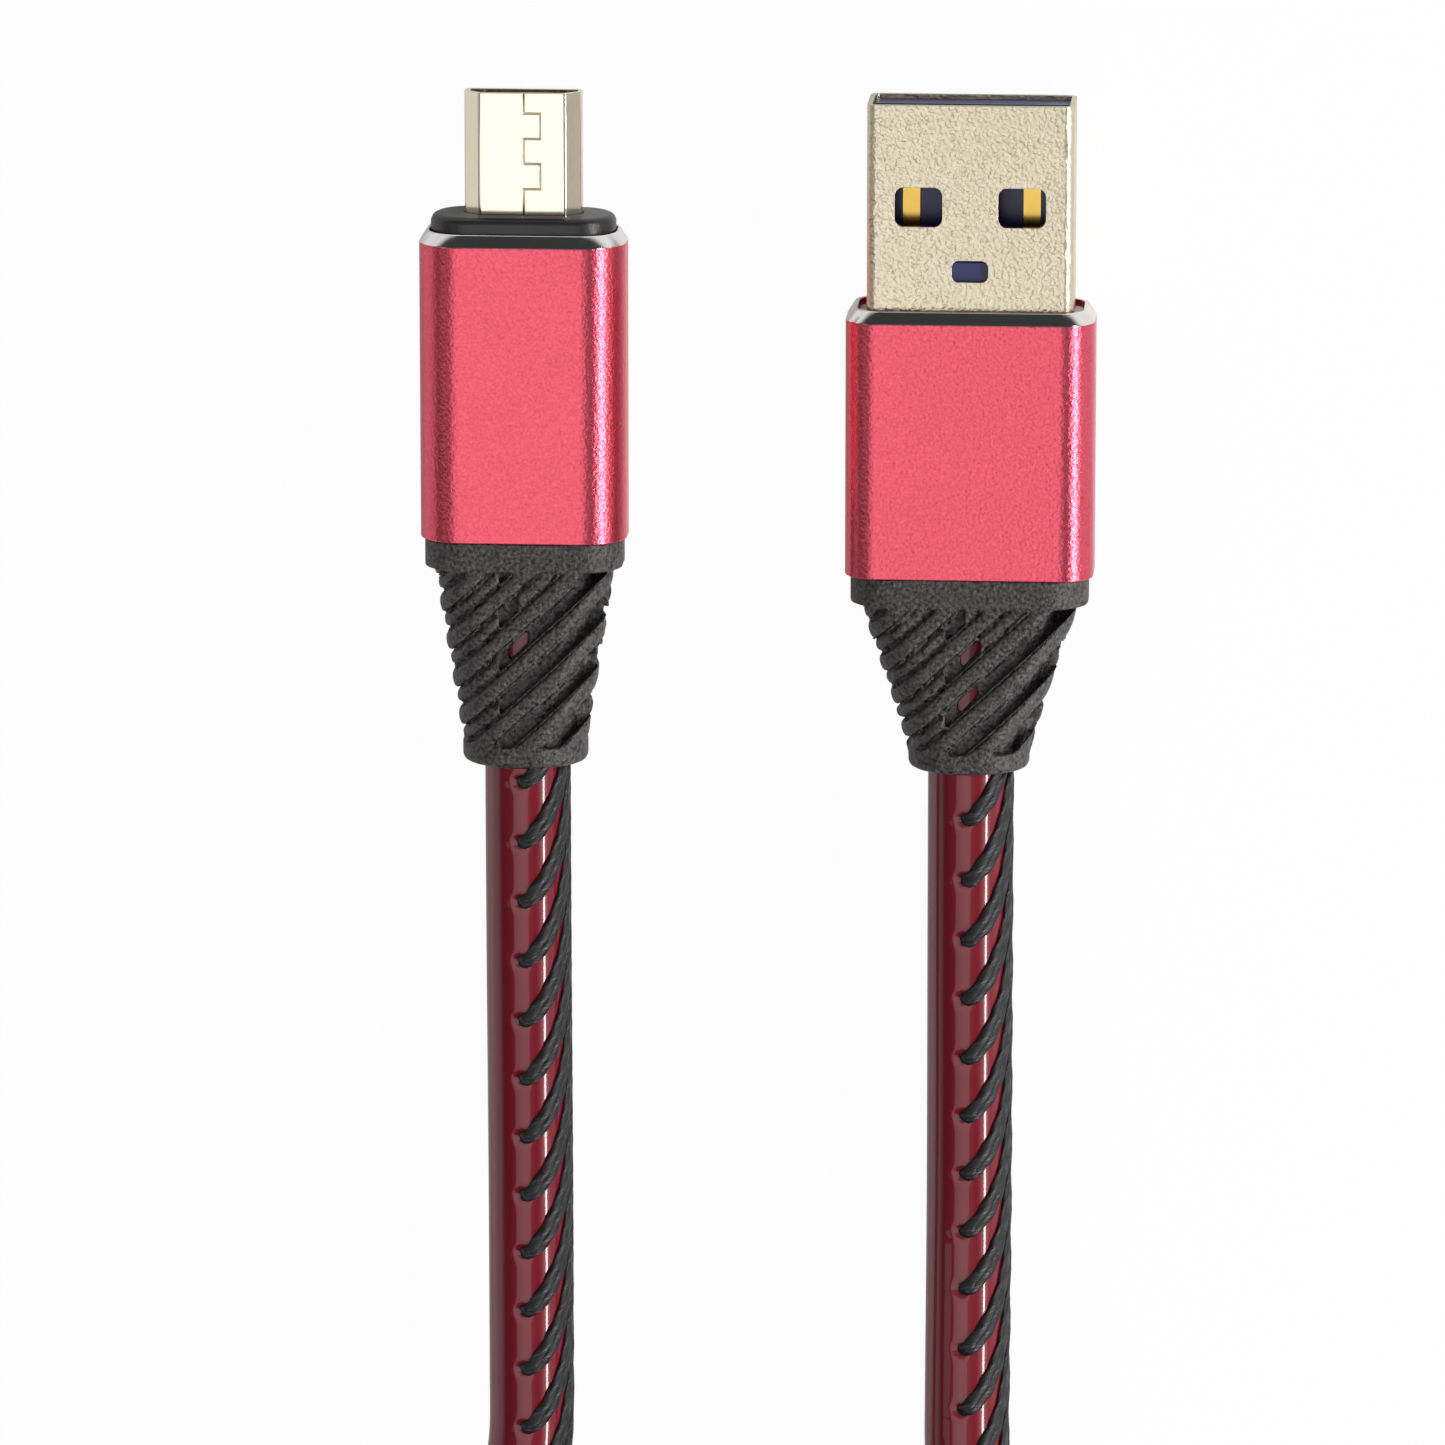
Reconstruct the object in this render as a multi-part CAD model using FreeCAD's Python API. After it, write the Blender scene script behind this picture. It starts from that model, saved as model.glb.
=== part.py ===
# Charging cable: a wide host plug, a small device plug, and the leather-covered cord between them.
# The cable lies on the plane z = 0 with both plugs side by side, faces up and tips towards +Y.
# The origin is under the middle of the two plugs. Millimetres.
import FreeCAD, Part
import math
import os

# Places of the two plugs
plug_spacing = 26.1
half_length = 19.85

# Cord, with its inner jacket and its wires
cord_diameter = 4.8
cord_jacket_diameter = 3.6
cord_sides = 10
wire_sides = 8
wire_gap = 0.05
wire_bundle_gap = 0.1
wire_straight = 1.0

# Aluminium sleeves, the same height on both plugs
sleeve_cover = 0.95
sleeve_chamfer_in = 0.45
sleeve_chamfer_back = 0.7

# Fits between pieces that are pushed together
fit_play = 0.03
mould_play = 0.04

# Host plug, metal tip and what is in it
host_tip_width = 12.0
host_tip_height = 4.5
host_tip_wall = 0.3
host_tip_corner = 0.6
host_tip_setback = 0.25
host_tip_length = 16.5
host_exposed = 12.0
host_window_width = 2.75
host_window_length = 2.3
host_window_corner = 0.5
host_window_spacing = 6.0
host_window_from_mouth = 5.95
host_slot_width = 2.1
host_slot_length = 1.25
host_slot_corner = 0.4
host_slot_from_mouth = 9.7
host_seam_width = 0.09
host_seam_depth = 0.12
host_tongue_height = 1.95
host_tongue_recess = 0.25
host_cavity_depth = 9.2
host_pad_width = 1.0
host_pad_thickness = 0.25
host_pad_proud = 0.1
host_inner_pad_spacing = 2.0
host_outer_pad_spacing = 7.0
host_outer_pad_setback = 1.2
host_inner_pad_setback = 2.2
host_tail_length = 1.8
host_wire_run = 5.3
host_mould_recess = 0.4

# Host plug, sleeve and boot
host_sleeve_side = 1.25
host_sleeve_length = 15.8
host_sleeve_wall = 0.7
host_sleeve_corner = 2.0
host_boot_step_in = 0.3
host_ring_side = 1.15
host_groove_phase = 1.95

# Device plug, metal tip and what is in it
device_tip_width = 6.85
device_tip_height = 1.8
device_tip_top_width = 5.0
device_tip_side_height = 1.0
device_tip_wall = 0.25
device_tip_corner = 0.3
device_tip_length = 10.6
device_exposed = 7.15
device_seam_offset = 0.1
device_seam_width = 0.09
device_seam_depth = 0.12
device_seam_tab_reach = 0.95
device_seam_tab_length = 1.48
device_seam_tab_first = 1.2
device_seam_tab_pitch = 2.95
device_tongue_width = 3.9
device_tongue_height = 0.6
device_tongue_recess = 0.4
device_cavity_depth = 7.6
device_contact_pitch = 0.65
device_contact_width = 0.3
device_contact_thickness = 0.15
device_contact_setback = 0.7
device_contact_bump = 0.15
device_contact_bump_from_mouth = 2.3
device_contact_bump_length = 1.0
device_contact_bump_flat_share = 0.4
device_tail_length = 1.4
device_wire_run = 7.5
device_nose_side = 1.975
device_nose_height = 5.0
device_nose_corner = 2.3
device_nose_proud = 0.9
device_nose_round = 0.4
device_nose_depth = 1.9

# Device plug, sleeve and boot
device_sleeve_side = 0.65
device_sleeve_length = 18.2
device_sleeve_wall = 0.6
device_sleeve_corner = 2.6
device_boot_step_in = 0.25
device_ring_side = 1.28
device_groove_phase = 1.3

# Share of a rounding's size at its middle facet
round_share = 0.3

# Latch springs of the device plug
latch_spacing = 5.1
latch_width = 0.5
latch_thickness = 0.2
latch_root_radius = 0.16
latch_root_depth = 0.6
latch_hook_height = 0.35
latch_hook_length = 0.9
latch_hook_back_share = 0.1
latch_hook_flat_share = 0.35
latch_hook_from_mouth = 2.6
latch_nose_length = 0.2
latch_play = 0.12
latch_rest_gap = 0.06

# Strain reliefs, both of one design
boot_height_step_in = 0.1
boot_collar_length = 1.7
boot_collar_corner = 2.4
boot_ring_length = 1.2
boot_ring_round = 0.35
boot_ring_flat = 0.3
boot_chords = 4
boot_step = 0.5
boot_spigot_length = 2.0
boot_core_floor = 0.16
boot_core_side = 0.85
boot_web_side = 0.55
boot_web_height = 0.9
groove_pitch = 2.6
groove_width = 0.8
groove_slope = 43.0
groove_overlap = 0.1
land_slit = 0.14
land_drop = 0.1
land_left_end = -1.3
land_top_low_end = -0.2
land_top_reach = 3.4
land_top_length = 2.4
boot_window_width = 0.5
boot_window_length = 1.6
host_boot_windows = [(0.2, -12.2), (0.0, -16.3)]
device_boot_windows = [(-0.2, -12.8)]

# Clamp ring on the cord inside the host plug
crimp_wall = 0.3
crimp_length = 1.8
crimp_setback = 0.3
crimp_slit = 0.8
crimp_strap_width = 2.0

# Put-away coil of two layers, and the two free stretches that lead to it
coil_outer_radius = 29.0
coil_whole_turns = 4
coil_gap = 0.45
coil_centre_y = -93.9
coil_end_slope = 7.0
lead_level_run = 9.5
lead_sinking_run = 17.0
lead_run_to_coil = 10.8

# Worked out from the sizes above
sleeve_height = host_tip_height + 2 * sleeve_cover
host_sleeve_width = host_tip_width + 2 * host_sleeve_side
host_boot_width = host_sleeve_width - 2 * host_boot_step_in
host_ring_width = cord_diameter + 2 * host_ring_side
device_nose_width = device_tip_width + 2 * device_nose_side
device_sleeve_width = device_nose_width + 2 * device_sleeve_side
device_boot_width = device_sleeve_width - 2 * device_boot_step_in
device_ring_width = cord_diameter + 2 * device_ring_side
boot_height = sleeve_height - 2 * boot_height_step_in
mid_z = sleeve_height / 2
device_x = (-plug_spacing + (device_sleeve_width - host_sleeve_width) / 2) / 2
host_x = device_x + plug_spacing
boot_end_y = -half_length
device_mouth_y = half_length
host_mouth_y = half_length - host_tip_setback
device_sleeve_front_y = device_mouth_y - device_exposed - device_nose_proud
device_sleeve_back_y = device_sleeve_front_y - device_sleeve_length
host_sleeve_front_y = host_mouth_y - host_exposed
host_sleeve_back_y = host_sleeve_front_y - host_sleeve_length
host_rear_y = host_mouth_y - host_tip_length
device_rear_y = device_mouth_y - device_tip_length
host_tail_y = host_rear_y - host_tail_length
device_tail_y = device_rear_y - device_tail_length
host_jacket_y = host_tail_y - host_wire_run
device_jacket_y = device_tail_y - device_wire_run
wire_diameter = device_contact_pitch - wire_gap
wire_bundle_pitch = wire_diameter + wire_bundle_gap
groove_tangent = math.tan(math.radians(groove_slope))


def vec(x, y, z):
    return FreeCAD.Vector(x, y, z)


def block(x_low, x_high, y_low, y_high, z_low, z_high):
    """A box between its lowest and highest corners."""
    return Part.makeBox(x_high - x_low, y_high - y_low, z_high - z_low, vec(x_low, y_low, z_low))


def section(width, height, corner, x, y, chords=0):
    """A rounded rectangle across a plug, at the plugs' middle height, with arcs or chords at its corners."""
    radius = min(corner, 0.49 * width, 0.49 * height)
    steps = chords or 2
    reach_x = width / 2 - radius
    reach_z = height / 2 - radius
    edges = []
    ends = []
    for quarter, (side_x, side_z) in enumerate([(1, 1), (-1, 1), (-1, -1), (1, -1)]):
        turn = quarter * math.pi / 2
        points = []
        for step in range(steps + 1):
            angle = turn + step * math.pi / 2 / steps
            px = x + side_x * reach_x + radius * math.cos(angle)
            pz = mid_z + side_z * reach_z + radius * math.sin(angle)
            points.append(vec(px, y, pz))
        ends += points
        if not chords:
            edges.append(Part.Arc(*points).toShape())
    if chords:
        return Part.makePolygon(ends + ends[:1])
    sides = [Part.LineSegment(ends[k], ends[(k + 1) % len(ends)]).toShape() for k in (2, 5, 8, 11)]
    return Part.Wire([edge for pair in zip(edges, sides) for edge in pair])


def bar(width, height, corner, x, y_back, y_front, chords=0):
    """A rounded bar along a plug's axis."""
    face = Part.Face(section(width, height, corner, x, y_back, chords))
    return face.extrude(vec(0, y_front - y_back, 0))


def taper(sections):
    """A solid with straight sides from each section to the next."""
    return Part.makeLoft(sections, True, True)


def rod(radius, x, y_back, y_front):
    """A round bar along a plug's axis."""
    return Part.makeCylinder(radius, y_front - y_back, vec(x, y_back, mid_z), vec(0, 1, 0))


def window(width, length, corner, x, y, z_low, z_high):
    """An upright prism with rounded corners, for a hole through a metal tip."""
    plate = block(x - width / 2, x + width / 2, y - length / 2, y + length / 2, z_low, z_high)
    uprights = [edge for edge in plate.Edges if abs(edge.Vertexes[0].Z - edge.Vertexes[1].Z) > 1e-6]
    return plate.makeFillet(corner, uprights)


def strip(outline, z_low, z_high):
    """An upright prism over a flat outline."""
    points = [vec(x, y, z_low) for x, y in outline]
    wire = Part.makePolygon(points + points[:1])
    return Part.Face(wire).extrude(vec(0, 0, z_high - z_low))


def side_profile(outline, x_low, x_high):
    """A prism across the plug over an outline of (y, z) points."""
    points = [vec(x_low, y, z) for y, z in outline]
    wire = Part.makePolygon(points + points[:1])
    return Part.Face(wire).extrude(vec(x_high - x_low, 0, 0))


def unite(shapes):
    return shapes[0].multiFuse(shapes[1:])


def save(name, shape):
    """Write one piece to its own file."""
    if len(shape.Solids) == 1:
        shape = shape.Solids[0]
    shape.exportStep("parts/" + name + ".step")
    print(f"{name:24s} solids {len(shape.Solids)} volume {shape.Volume:9.3f} valid {shape.isValid()}")


# Device tip: a folded shell, narrow face up, with a bevel at each side

def device_outline(inset, y):
    """The device tip's outline, moved inwards by inset, as a wire with rounded corners."""
    top = device_tip_height / 2
    half = device_tip_width / 2
    knee = -top + device_tip_side_height
    narrow = device_tip_top_width / 2
    outline = [(narrow, top), (-narrow, top), (-half, knee), (-half, -top), (half, -top), (half, knee)]
    count = len(outline)
    lines = []
    for k in range(count):
        (x0, z0), (x1, z1) = outline[k], outline[(k + 1) % count]
        length = math.hypot(x1 - x0, z1 - z0)
        along = ((x1 - x0) / length, (z1 - z0) / length)
        lines.append((x0 - along[1] * inset, z0 + along[0] * inset, along))
    corners = []
    for k in range(count):
        ax, az, a = lines[k - 1]
        bx, bz, b = lines[k]
        cross = a[0] * b[1] - a[1] * b[0]
        step = ((bx - ax) * b[1] - (bz - az) * b[0]) / cross
        corners.append(vec(device_x + ax + a[0] * step, y, mid_z + az + a[1] * step))
    radius = max(device_tip_corner - inset, 0.05)
    edges = []
    first = None
    last = None
    for k in range(count):
        before = (corners[k - 1] - corners[k]).normalize()
        after = (corners[(k + 1) % count] - corners[k]).normalize()
        half_angle = before.getAngle(after) / 2
        back = radius / math.tan(half_angle)
        inward = (before + after).normalize()
        start = corners[k] + before * back
        middle = corners[k] + inward * (radius / math.sin(half_angle) - radius)
        end = corners[k] + after * back
        if last is not None:
            edges.append(Part.LineSegment(last, start).toShape())
        edges.append(Part.Arc(start, middle, end).toShape())
        first = first or start
        last = end
    edges.append(Part.LineSegment(last, first).toShape())
    return Part.Wire(edges)


def device_bar(inset, y_back, y_front):
    """A bar with the device tip's outline."""
    return Part.Face(device_outline(inset, y_back)).extrude(vec(0, y_front - y_back, 0))


latch_sides = {"left": -1, "right": 1}
latch_hook_y = device_mouth_y - latch_hook_from_mouth
latch_floor_z = mid_z - device_tip_height / 2 + device_tip_wall
latch_bottom_z = latch_floor_z + latch_rest_gap
latch_root_y = device_mouth_y - device_cavity_depth - latch_root_depth
latch_root_z = latch_bottom_z + latch_root_radius


def latch_x(side):
    return device_x + latch_sides[side] * latch_spacing / 2


def device_seam():
    """The folded shell's dovetailed seam, a shallow line down the narrow face with two tabs."""
    top_z = mid_z + device_tip_height / 2
    low_z = top_z - device_seam_depth
    line = device_seam_width / 2
    x_seam = device_x + device_seam_offset
    x_tab = x_seam + device_seam_tab_reach
    y = device_mouth_y
    cuts = []
    for k in range(2):
        tab_front = device_mouth_y - device_seam_tab_first - k * device_seam_tab_pitch
        tab_back = tab_front - device_seam_tab_length
        cuts.append(block(x_seam - line, x_seam + line, tab_front - line, y, low_z, top_z))
        cuts.append(block(x_seam, x_tab, tab_front - line, tab_front + line, low_z, top_z))
        cuts.append(block(x_tab - line, x_tab + line, tab_back - line, tab_front + line, low_z, top_z))
        cuts.append(block(x_seam, x_tab, tab_back - line, tab_back + line, low_z, top_z))
        y = tab_back + line
    cuts.append(block(x_seam - line, x_seam + line, device_rear_y, y, low_z, top_z))
    return unite(cuts)


def device_shell():
    shell = device_bar(0, device_rear_y, device_mouth_y)
    shell = shell.cut(device_bar(device_tip_wall, device_rear_y, device_mouth_y))
    hook_room = latch_hook_length / 2 + latch_play
    for side in latch_sides:
        x = latch_x(side)
        half = latch_width / 2 + latch_play
        y_low = latch_hook_y - hook_room
        y_high = latch_hook_y + hook_room
        shell = shell.cut(block(x - half, x + half, y_low, y_high, 0, latch_floor_z + fit_play))
    return shell.cut(device_seam())


def device_contacts():
    """Five spring contacts under the tongue, each with a raised contact point near the mouth."""
    top_z = mid_z + device_tip_height / 2 - device_tip_wall - device_tongue_height
    low_z = top_z - device_contact_thickness
    bump_y = device_mouth_y - device_contact_bump_from_mouth
    bump_z = low_z - device_contact_bump
    bump_half = device_contact_bump_length / 2
    bump_flat = bump_half * device_contact_bump_flat_share
    contacts = []
    for pin in range(5):
        x = device_x + (pin - 2) * device_contact_pitch
        x_low = x - device_contact_width / 2
        x_high = x + device_contact_width / 2
        front = device_mouth_y - device_contact_setback
        leaf = block(x_low, x_high, device_tail_y, front, low_z, top_z)
        bump = side_profile(
            [
                (bump_y - bump_half, low_z),
                (bump_y - bump_flat, bump_z),
                (bump_y + bump_flat, bump_z),
                (bump_y + bump_half, low_z),
            ],
            x_low,
            x_high,
        )
        contacts.append(leaf.fuse(bump).removeSplitter())
    return contacts


def device_tongue(contacts):
    """The insulator: a thin tongue under the narrow face, and a block that fills the shell's rear."""
    inner_top_z = mid_z + device_tip_height / 2 - device_tip_wall
    block_front = device_mouth_y - device_cavity_depth
    half = device_tongue_width / 2
    front = device_mouth_y - device_tongue_recess
    z_low = inner_top_z - device_tongue_height
    z_high = inner_top_z - fit_play
    body = device_bar(device_tip_wall + fit_play, device_rear_y, block_front)
    body = body.fuse(block(device_x - half, device_x + half, block_front - 1, front, z_low, z_high))
    for contact in contacts:
        body = body.cut(contact)
    pocket_back = latch_root_y - latch_root_radius - latch_play
    pocket_top = latch_root_z + latch_root_radius + latch_play
    for side in latch_sides:
        x = latch_x(side)
        pocket_half = latch_width / 2 + latch_play
        body = body.cut(block(x - pocket_half, x + pocket_half, pocket_back, block_front, 0, pocket_top))
    return body


def device_latch(side):
    """A latch spring: a rolled root, a flat arm along the wide wall and a hook through its slot."""
    x_low = latch_x(side) - latch_width / 2
    x_high = latch_x(side) + latch_width / 2
    arm_front = latch_hook_y + latch_hook_length / 2 + latch_nose_length
    arm = block(x_low, x_high, latch_root_y, arm_front, latch_bottom_z, latch_bottom_z + latch_thickness)
    root = Part.makeCylinder(
        latch_root_radius, latch_width, vec(x_low, latch_root_y, latch_root_z), vec(1, 0, 0)
    )
    tip_z = mid_z - device_tip_height / 2 - latch_hook_height
    back = latch_hook_y - latch_hook_length / 2
    front = latch_hook_y + latch_hook_length / 2
    hook = side_profile(
        [
            (back, latch_bottom_z + latch_thickness / 2),
            (back + latch_hook_length * latch_hook_back_share, tip_z),
            (back + latch_hook_length * latch_hook_flat_share, tip_z),
            (front, latch_bottom_z + latch_thickness / 2),
        ],
        x_low,
        x_high,
    )
    return unite([arm, root, hook]).removeSplitter()


def device_nose():
    """The black collar that the metal tip comes out of."""
    front = device_sleeve_front_y + device_nose_proud
    back = device_sleeve_front_y - device_nose_depth
    soften = device_nose_round
    half_way = round_share * soften
    corner = device_nose_corner
    steps = [(0, back), (0, front - soften), (half_way, front - half_way), (soften, front)]
    rings = []
    for less, y in steps:
        width = device_nose_width - 2 * less
        height = device_nose_height - 2 * less
        rings.append(section(width, height, corner - less, device_x, y))
    return taper(rings).cut(device_bar(-fit_play, back, front))


# Host tip: a straight folded shell with two windows in each broad face

def host_shell():
    shell = bar(host_tip_width, host_tip_height, host_tip_corner, host_x, host_rear_y, host_mouth_y)
    inner_width = host_tip_width - 2 * host_tip_wall
    inner_height = host_tip_height - 2 * host_tip_wall
    inner_corner = max(host_tip_corner - host_tip_wall, 0.1)
    shell = shell.cut(bar(inner_width, inner_height, inner_corner, host_x, host_rear_y, host_mouth_y))
    window_y = host_mouth_y - host_window_from_mouth
    for side in (-1, 1):
        x = host_x + side * host_window_spacing / 2
        hole = window(host_window_width, host_window_length, host_window_corner, x, window_y, 0, 2 * mid_z)
        shell = shell.cut(hole)
    slot_y = host_mouth_y - host_slot_from_mouth
    slot = window(
        host_slot_width, host_slot_length, host_slot_corner, host_x, slot_y, mid_z, 2 * mid_z
    )
    bottom_z = mid_z - host_tip_height / 2
    seam = block(
        host_x - host_seam_width / 2,
        host_x + host_seam_width / 2,
        host_rear_y,
        host_mouth_y,
        bottom_z,
        bottom_z + host_seam_depth,
    )
    return shell.cut(slot).cut(seam)


host_tongue_top_z = mid_z - host_tip_height / 2 + host_tip_wall + host_tongue_height
host_pad_x = [
    -host_outer_pad_spacing / 2,
    -host_inner_pad_spacing / 2,
    host_inner_pad_spacing / 2,
    host_outer_pad_spacing / 2,
]


def host_contacts():
    """Four flat pads on the tongue; the outer two reach nearer to the mouth."""
    z_high = host_tongue_top_z + host_pad_proud
    z_low = z_high - host_pad_thickness
    pads = []
    for number, offset in enumerate(host_pad_x):
        setback = host_outer_pad_setback if number in (0, 3) else host_inner_pad_setback
        x = host_x + offset
        half = host_pad_width / 2
        pads.append(block(x - half, x + half, host_tail_y, host_mouth_y - setback, z_low, z_high))
    return pads


def host_tongue(pads):
    """The insulator: a tongue in the lower half, and a block that fills the shell's rear."""
    inner_half = host_tip_width / 2 - host_tip_wall - fit_play
    inner_height = host_tip_height - 2 * (host_tip_wall + fit_play)
    corner = max(host_tip_corner - host_tip_wall, 0.1)
    block_front = host_mouth_y - host_cavity_depth
    front = host_mouth_y - host_tongue_recess
    tongue = bar(2 * inner_half, inner_height, corner, host_x, host_rear_y, front)
    room = block(
        host_x - host_tip_width,
        host_x + host_tip_width,
        block_front,
        front,
        host_tongue_top_z,
        host_tongue_top_z + host_tip_height,
    )
    tongue = tongue.cut(room)
    for pad in pads:
        tongue = tongue.cut(pad)
    return tongue


def crimp_clamp():
    """A split ring on the cord's jacket, on a strap from the host shell's lower wall."""
    ring_front = host_jacket_y - crimp_setback
    ring_back = ring_front - crimp_length
    inner = cord_jacket_diameter / 2 + fit_play
    outer = inner + crimp_wall
    half_slit = crimp_slit / 2
    half_strap = crimp_strap_width / 2
    strap_low = mid_z - host_tip_height / 2
    strap_high = strap_low + host_tip_wall
    ring = rod(outer, host_x, ring_back, ring_front)
    strap = block(
        host_x - half_strap, host_x + half_strap, ring_back, host_rear_y, strap_low, strap_high
    )
    clamp = ring.fuse(strap).cut(rod(inner, host_x, ring_back - 1, ring_front + 1))
    slit = block(
        host_x - half_slit, host_x + half_slit, ring_back, ring_front, mid_z, mid_z + outer + 1
    )
    return clamp.cut(slit)


# What both plugs have: sleeve, inner mould, jacket, cover and boot

def sleeve(width, length, wall, corner, x, y_front):
    """An aluminium sleeve with a bright chamfer round its front edge."""
    y_back = y_front - length
    shoulder = y_front - sleeve_chamfer_back
    less = 2 * sleeve_chamfer_in
    rings = [
        section(width, sleeve_height, corner, x, y_back),
        section(width, sleeve_height, corner, x, shoulder),
        section(width - less, sleeve_height - less, corner - sleeve_chamfer_in, x, y_front),
    ]
    bore = bar(width - 2 * wall, sleeve_height - 2 * wall, corner - wall, x, y_back, y_front)
    return taper(rings).cut(bore)


def filling(width, wall, corner, x, y_back, y_front):
    """A bar that fills a sleeve, with a little play."""
    less = 2 * (wall + mould_play)
    return bar(width - less, sleeve_height - less, corner - wall, x, y_back, y_front)


def groove_lines(low_y, high_y, first_y):
    """Where the grooves' middle lines cross the boot's right-hand edge, between two heights."""
    number = math.ceil((low_y - first_y) / groove_pitch)
    lines = []
    while first_y + number * groove_pitch < high_y:
        lines.append(first_y + number * groove_pitch)
        number += 1
    return lines


def slanted(x_low, x_high, x_edge, y_edge, half_width, z_sign, z_start):
    """A band along a groove; on the upper half it rises to the right, below to the left."""
    half_y = half_width / math.cos(math.radians(groove_slope))
    fall = z_sign * groove_tangent
    y_low = y_edge - (x_edge - x_low) * fall
    y_high = y_edge - (x_edge - x_high) * fall
    outline = [
        (x_low, y_low - half_y),
        (x_high, y_high - half_y),
        (x_high, y_high + half_y),
        (x_low, y_low + half_y),
    ]
    z_end = z_start + z_sign * boot_height
    return strip(outline, min(z_start, z_end), max(z_start, z_end))


def boot(x, y_front, width, ring_width, phase, spigot, cover_front, windows):
    """A strain relief: collar, slanted ribs with lands between them over a core, and an end ring."""
    collar_end = y_front - boot_collar_length
    ring_start = boot_end_y + boot_ring_length
    wide = width - 2 * boot_step
    right = x + width / 2
    left = x - width / 2
    core_height = cord_diameter + 2 * boot_core_floor

    def skin(less, height):
        corner = (height - boot_ring_flat) / 2
        front = section(wide - 2 * less, height, boot_collar_corner, x, collar_end, boot_chords)
        back = section(ring_width - 2 * less, height, corner, x, ring_start, boot_chords)
        return taper([front, back])

    band = block(left - 1, right + 1, ring_start, collar_end, -1, sleeve_height + 1)
    rise = width * groove_tangent
    land_half = groove_width / 2 - land_slit
    ribs = skin(0, boot_height)
    inner_skin = skin(land_drop, boot_height - 2 * land_drop)
    fill = []
    for z_sign in (1, -1):
        # the upper and lower grooves run into each other, and the lands stop short of that
        groove_z = mid_z if z_sign < 0 else mid_z - groove_overlap
        land_z = mid_z if z_sign > 0 else mid_z - groove_overlap
        low_y = ring_start - (0 if z_sign > 0 else rise)
        high_y = collar_end + (rise if z_sign > 0 else 0)
        grooves = []
        left_lands = []
        top_lands = []
        for y_edge in groove_lines(low_y, high_y, ring_start + phase):
            edge = (right, y_edge)
            grooves.append(slanted(left - 1, right + 1, *edge, groove_width / 2, z_sign, groove_z))
            left_lands.append(slanted(left - 1, x + land_left_end, *edge, land_half, z_sign, land_z))
            top_x = right - (y_edge - collar_end) / (z_sign * groove_tangent)
            low_x = max(top_x - land_top_length, x + land_top_low_end)
            if z_sign > 0 and low_x < top_x < x + land_top_reach:
                top_lands.append(slanted(low_x, top_x + 1, *edge, land_half, z_sign, land_z))
        ribs = ribs.cut(Part.makeCompound(grooves).common(band))
        for lands in (left_lands, top_lands):
            if lands:
                fill += inner_skin.common(Part.makeCompound(lands)).Solids
    collar = bar(width, boot_height, boot_collar_corner, x, collar_end, y_front, boot_chords)
    soft = boot_ring_round
    half_way = round_share * soft
    boot_corner = (boot_height - boot_ring_flat) / 2
    steps = [
        (0, ring_start),
        (0, boot_end_y + soft),
        (half_way, boot_end_y + half_way),
        (soft, boot_end_y),
    ]
    rings = []
    for less, y in steps:
        height = boot_height - 2 * less
        rings.append(section(ring_width - 2 * less, height, boot_corner, x, y, boot_chords))
    ring = taper(rings)
    core = skin(boot_core_side, core_height)
    # a thin web between the upper and lower ribs, so that no groove goes right through
    web = skin(boot_web_side, boot_web_height)
    pieces = [core, web, collar, ring, spigot] + ribs.Solids + fill
    body = unite(pieces)
    bores = rod(cord_diameter / 2 + fit_play, x, boot_end_y - 1, cover_front)
    bore_end = y_front + boot_spigot_length + 1
    jacket_bore = rod(cord_jacket_diameter / 2 + fit_play, x, cover_front - 1, bore_end)
    body = body.cut(bores).cut(jacket_bore)
    front_lines = groove_lines(ring_start, collar_end + rise, ring_start + phase)
    half_across = boot_window_length / 2 * math.cos(math.radians(groove_slope))
    for x_offset, y_wanted in windows:
        fall = (width / 2 - x_offset) * groove_tangent
        near = min(front_lines, key=lambda y: abs(y - fall - y_wanted))
        low_x = x + x_offset - half_across
        high_x = x + x_offset + half_across
        body = body.cut(slanted(low_x, high_x, right, near, boot_window_width / 2, 1, mid_z))
    return body


# Cord: paths, tubes and the coil

def rounded_path(points):
    """Straight runs joined by arcs, each as large as its two runs allow, with the radii."""
    edges = []
    radii = []
    start = points[0]
    for before, corner, after in zip(points, points[1:], points[2:]):
        back = (before - corner).normalize()
        ahead = (after - corner).normalize()
        turn = math.pi - back.getAngle(ahead)
        reach = 0.45 * min((before - corner).Length, (after - corner).Length)
        radius = reach / math.tan(turn / 2)
        inward = (back + ahead).normalize()
        enter = corner + back * reach
        leave = corner + ahead * reach
        middle = corner + inward * (radius / math.cos(turn / 2) - radius)
        edges.append(Part.LineSegment(start, enter).toShape())
        edges.append(Part.Arc(enter, middle, leave).toShape())
        radii.append(radius)
        start = leave
    edges.append(Part.LineSegment(start, points[-1]).toShape())
    return edges, radii


def faceted_ring(centre, heading, radius, sides):
    """A round outline across a path, in flats, with one above and one below."""
    side = heading.cross(vec(0, 0, 1)).normalize()
    up = side.cross(heading).normalize()
    points = []
    for k in range(sides):
        angle = 2 * math.pi * (k + 0.5) / sides
        points.append(centre + side * (radius * math.sin(angle)) + up * (radius * math.cos(angle)))
    return Part.makePolygon(points + points[:1])


def cord_tube(edges, heading):
    """A tube along a path, with its volume beside its section times its length."""
    path = Part.Wire(edges)
    ring = faceted_ring(edges[0].Vertexes[0].Point, heading, cord_diameter / 2, cord_sides)
    tube = path.makePipeShell([ring], True, False)
    expected = Part.Face(ring).Area * path.Length
    print(f"cord stretch {path.Length:8.2f} mm, volume over expected {tube.Volume / expected:.4f}")
    return tube


def wire_tube(points):
    """One insulated wire."""
    edges, _ = rounded_path(points)
    ring = faceted_ring(points[0], vec(0, -1, 0), wire_diameter / 2, wire_sides)
    return Part.Wire(edges).makePipeShell([ring], True, False)


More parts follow.
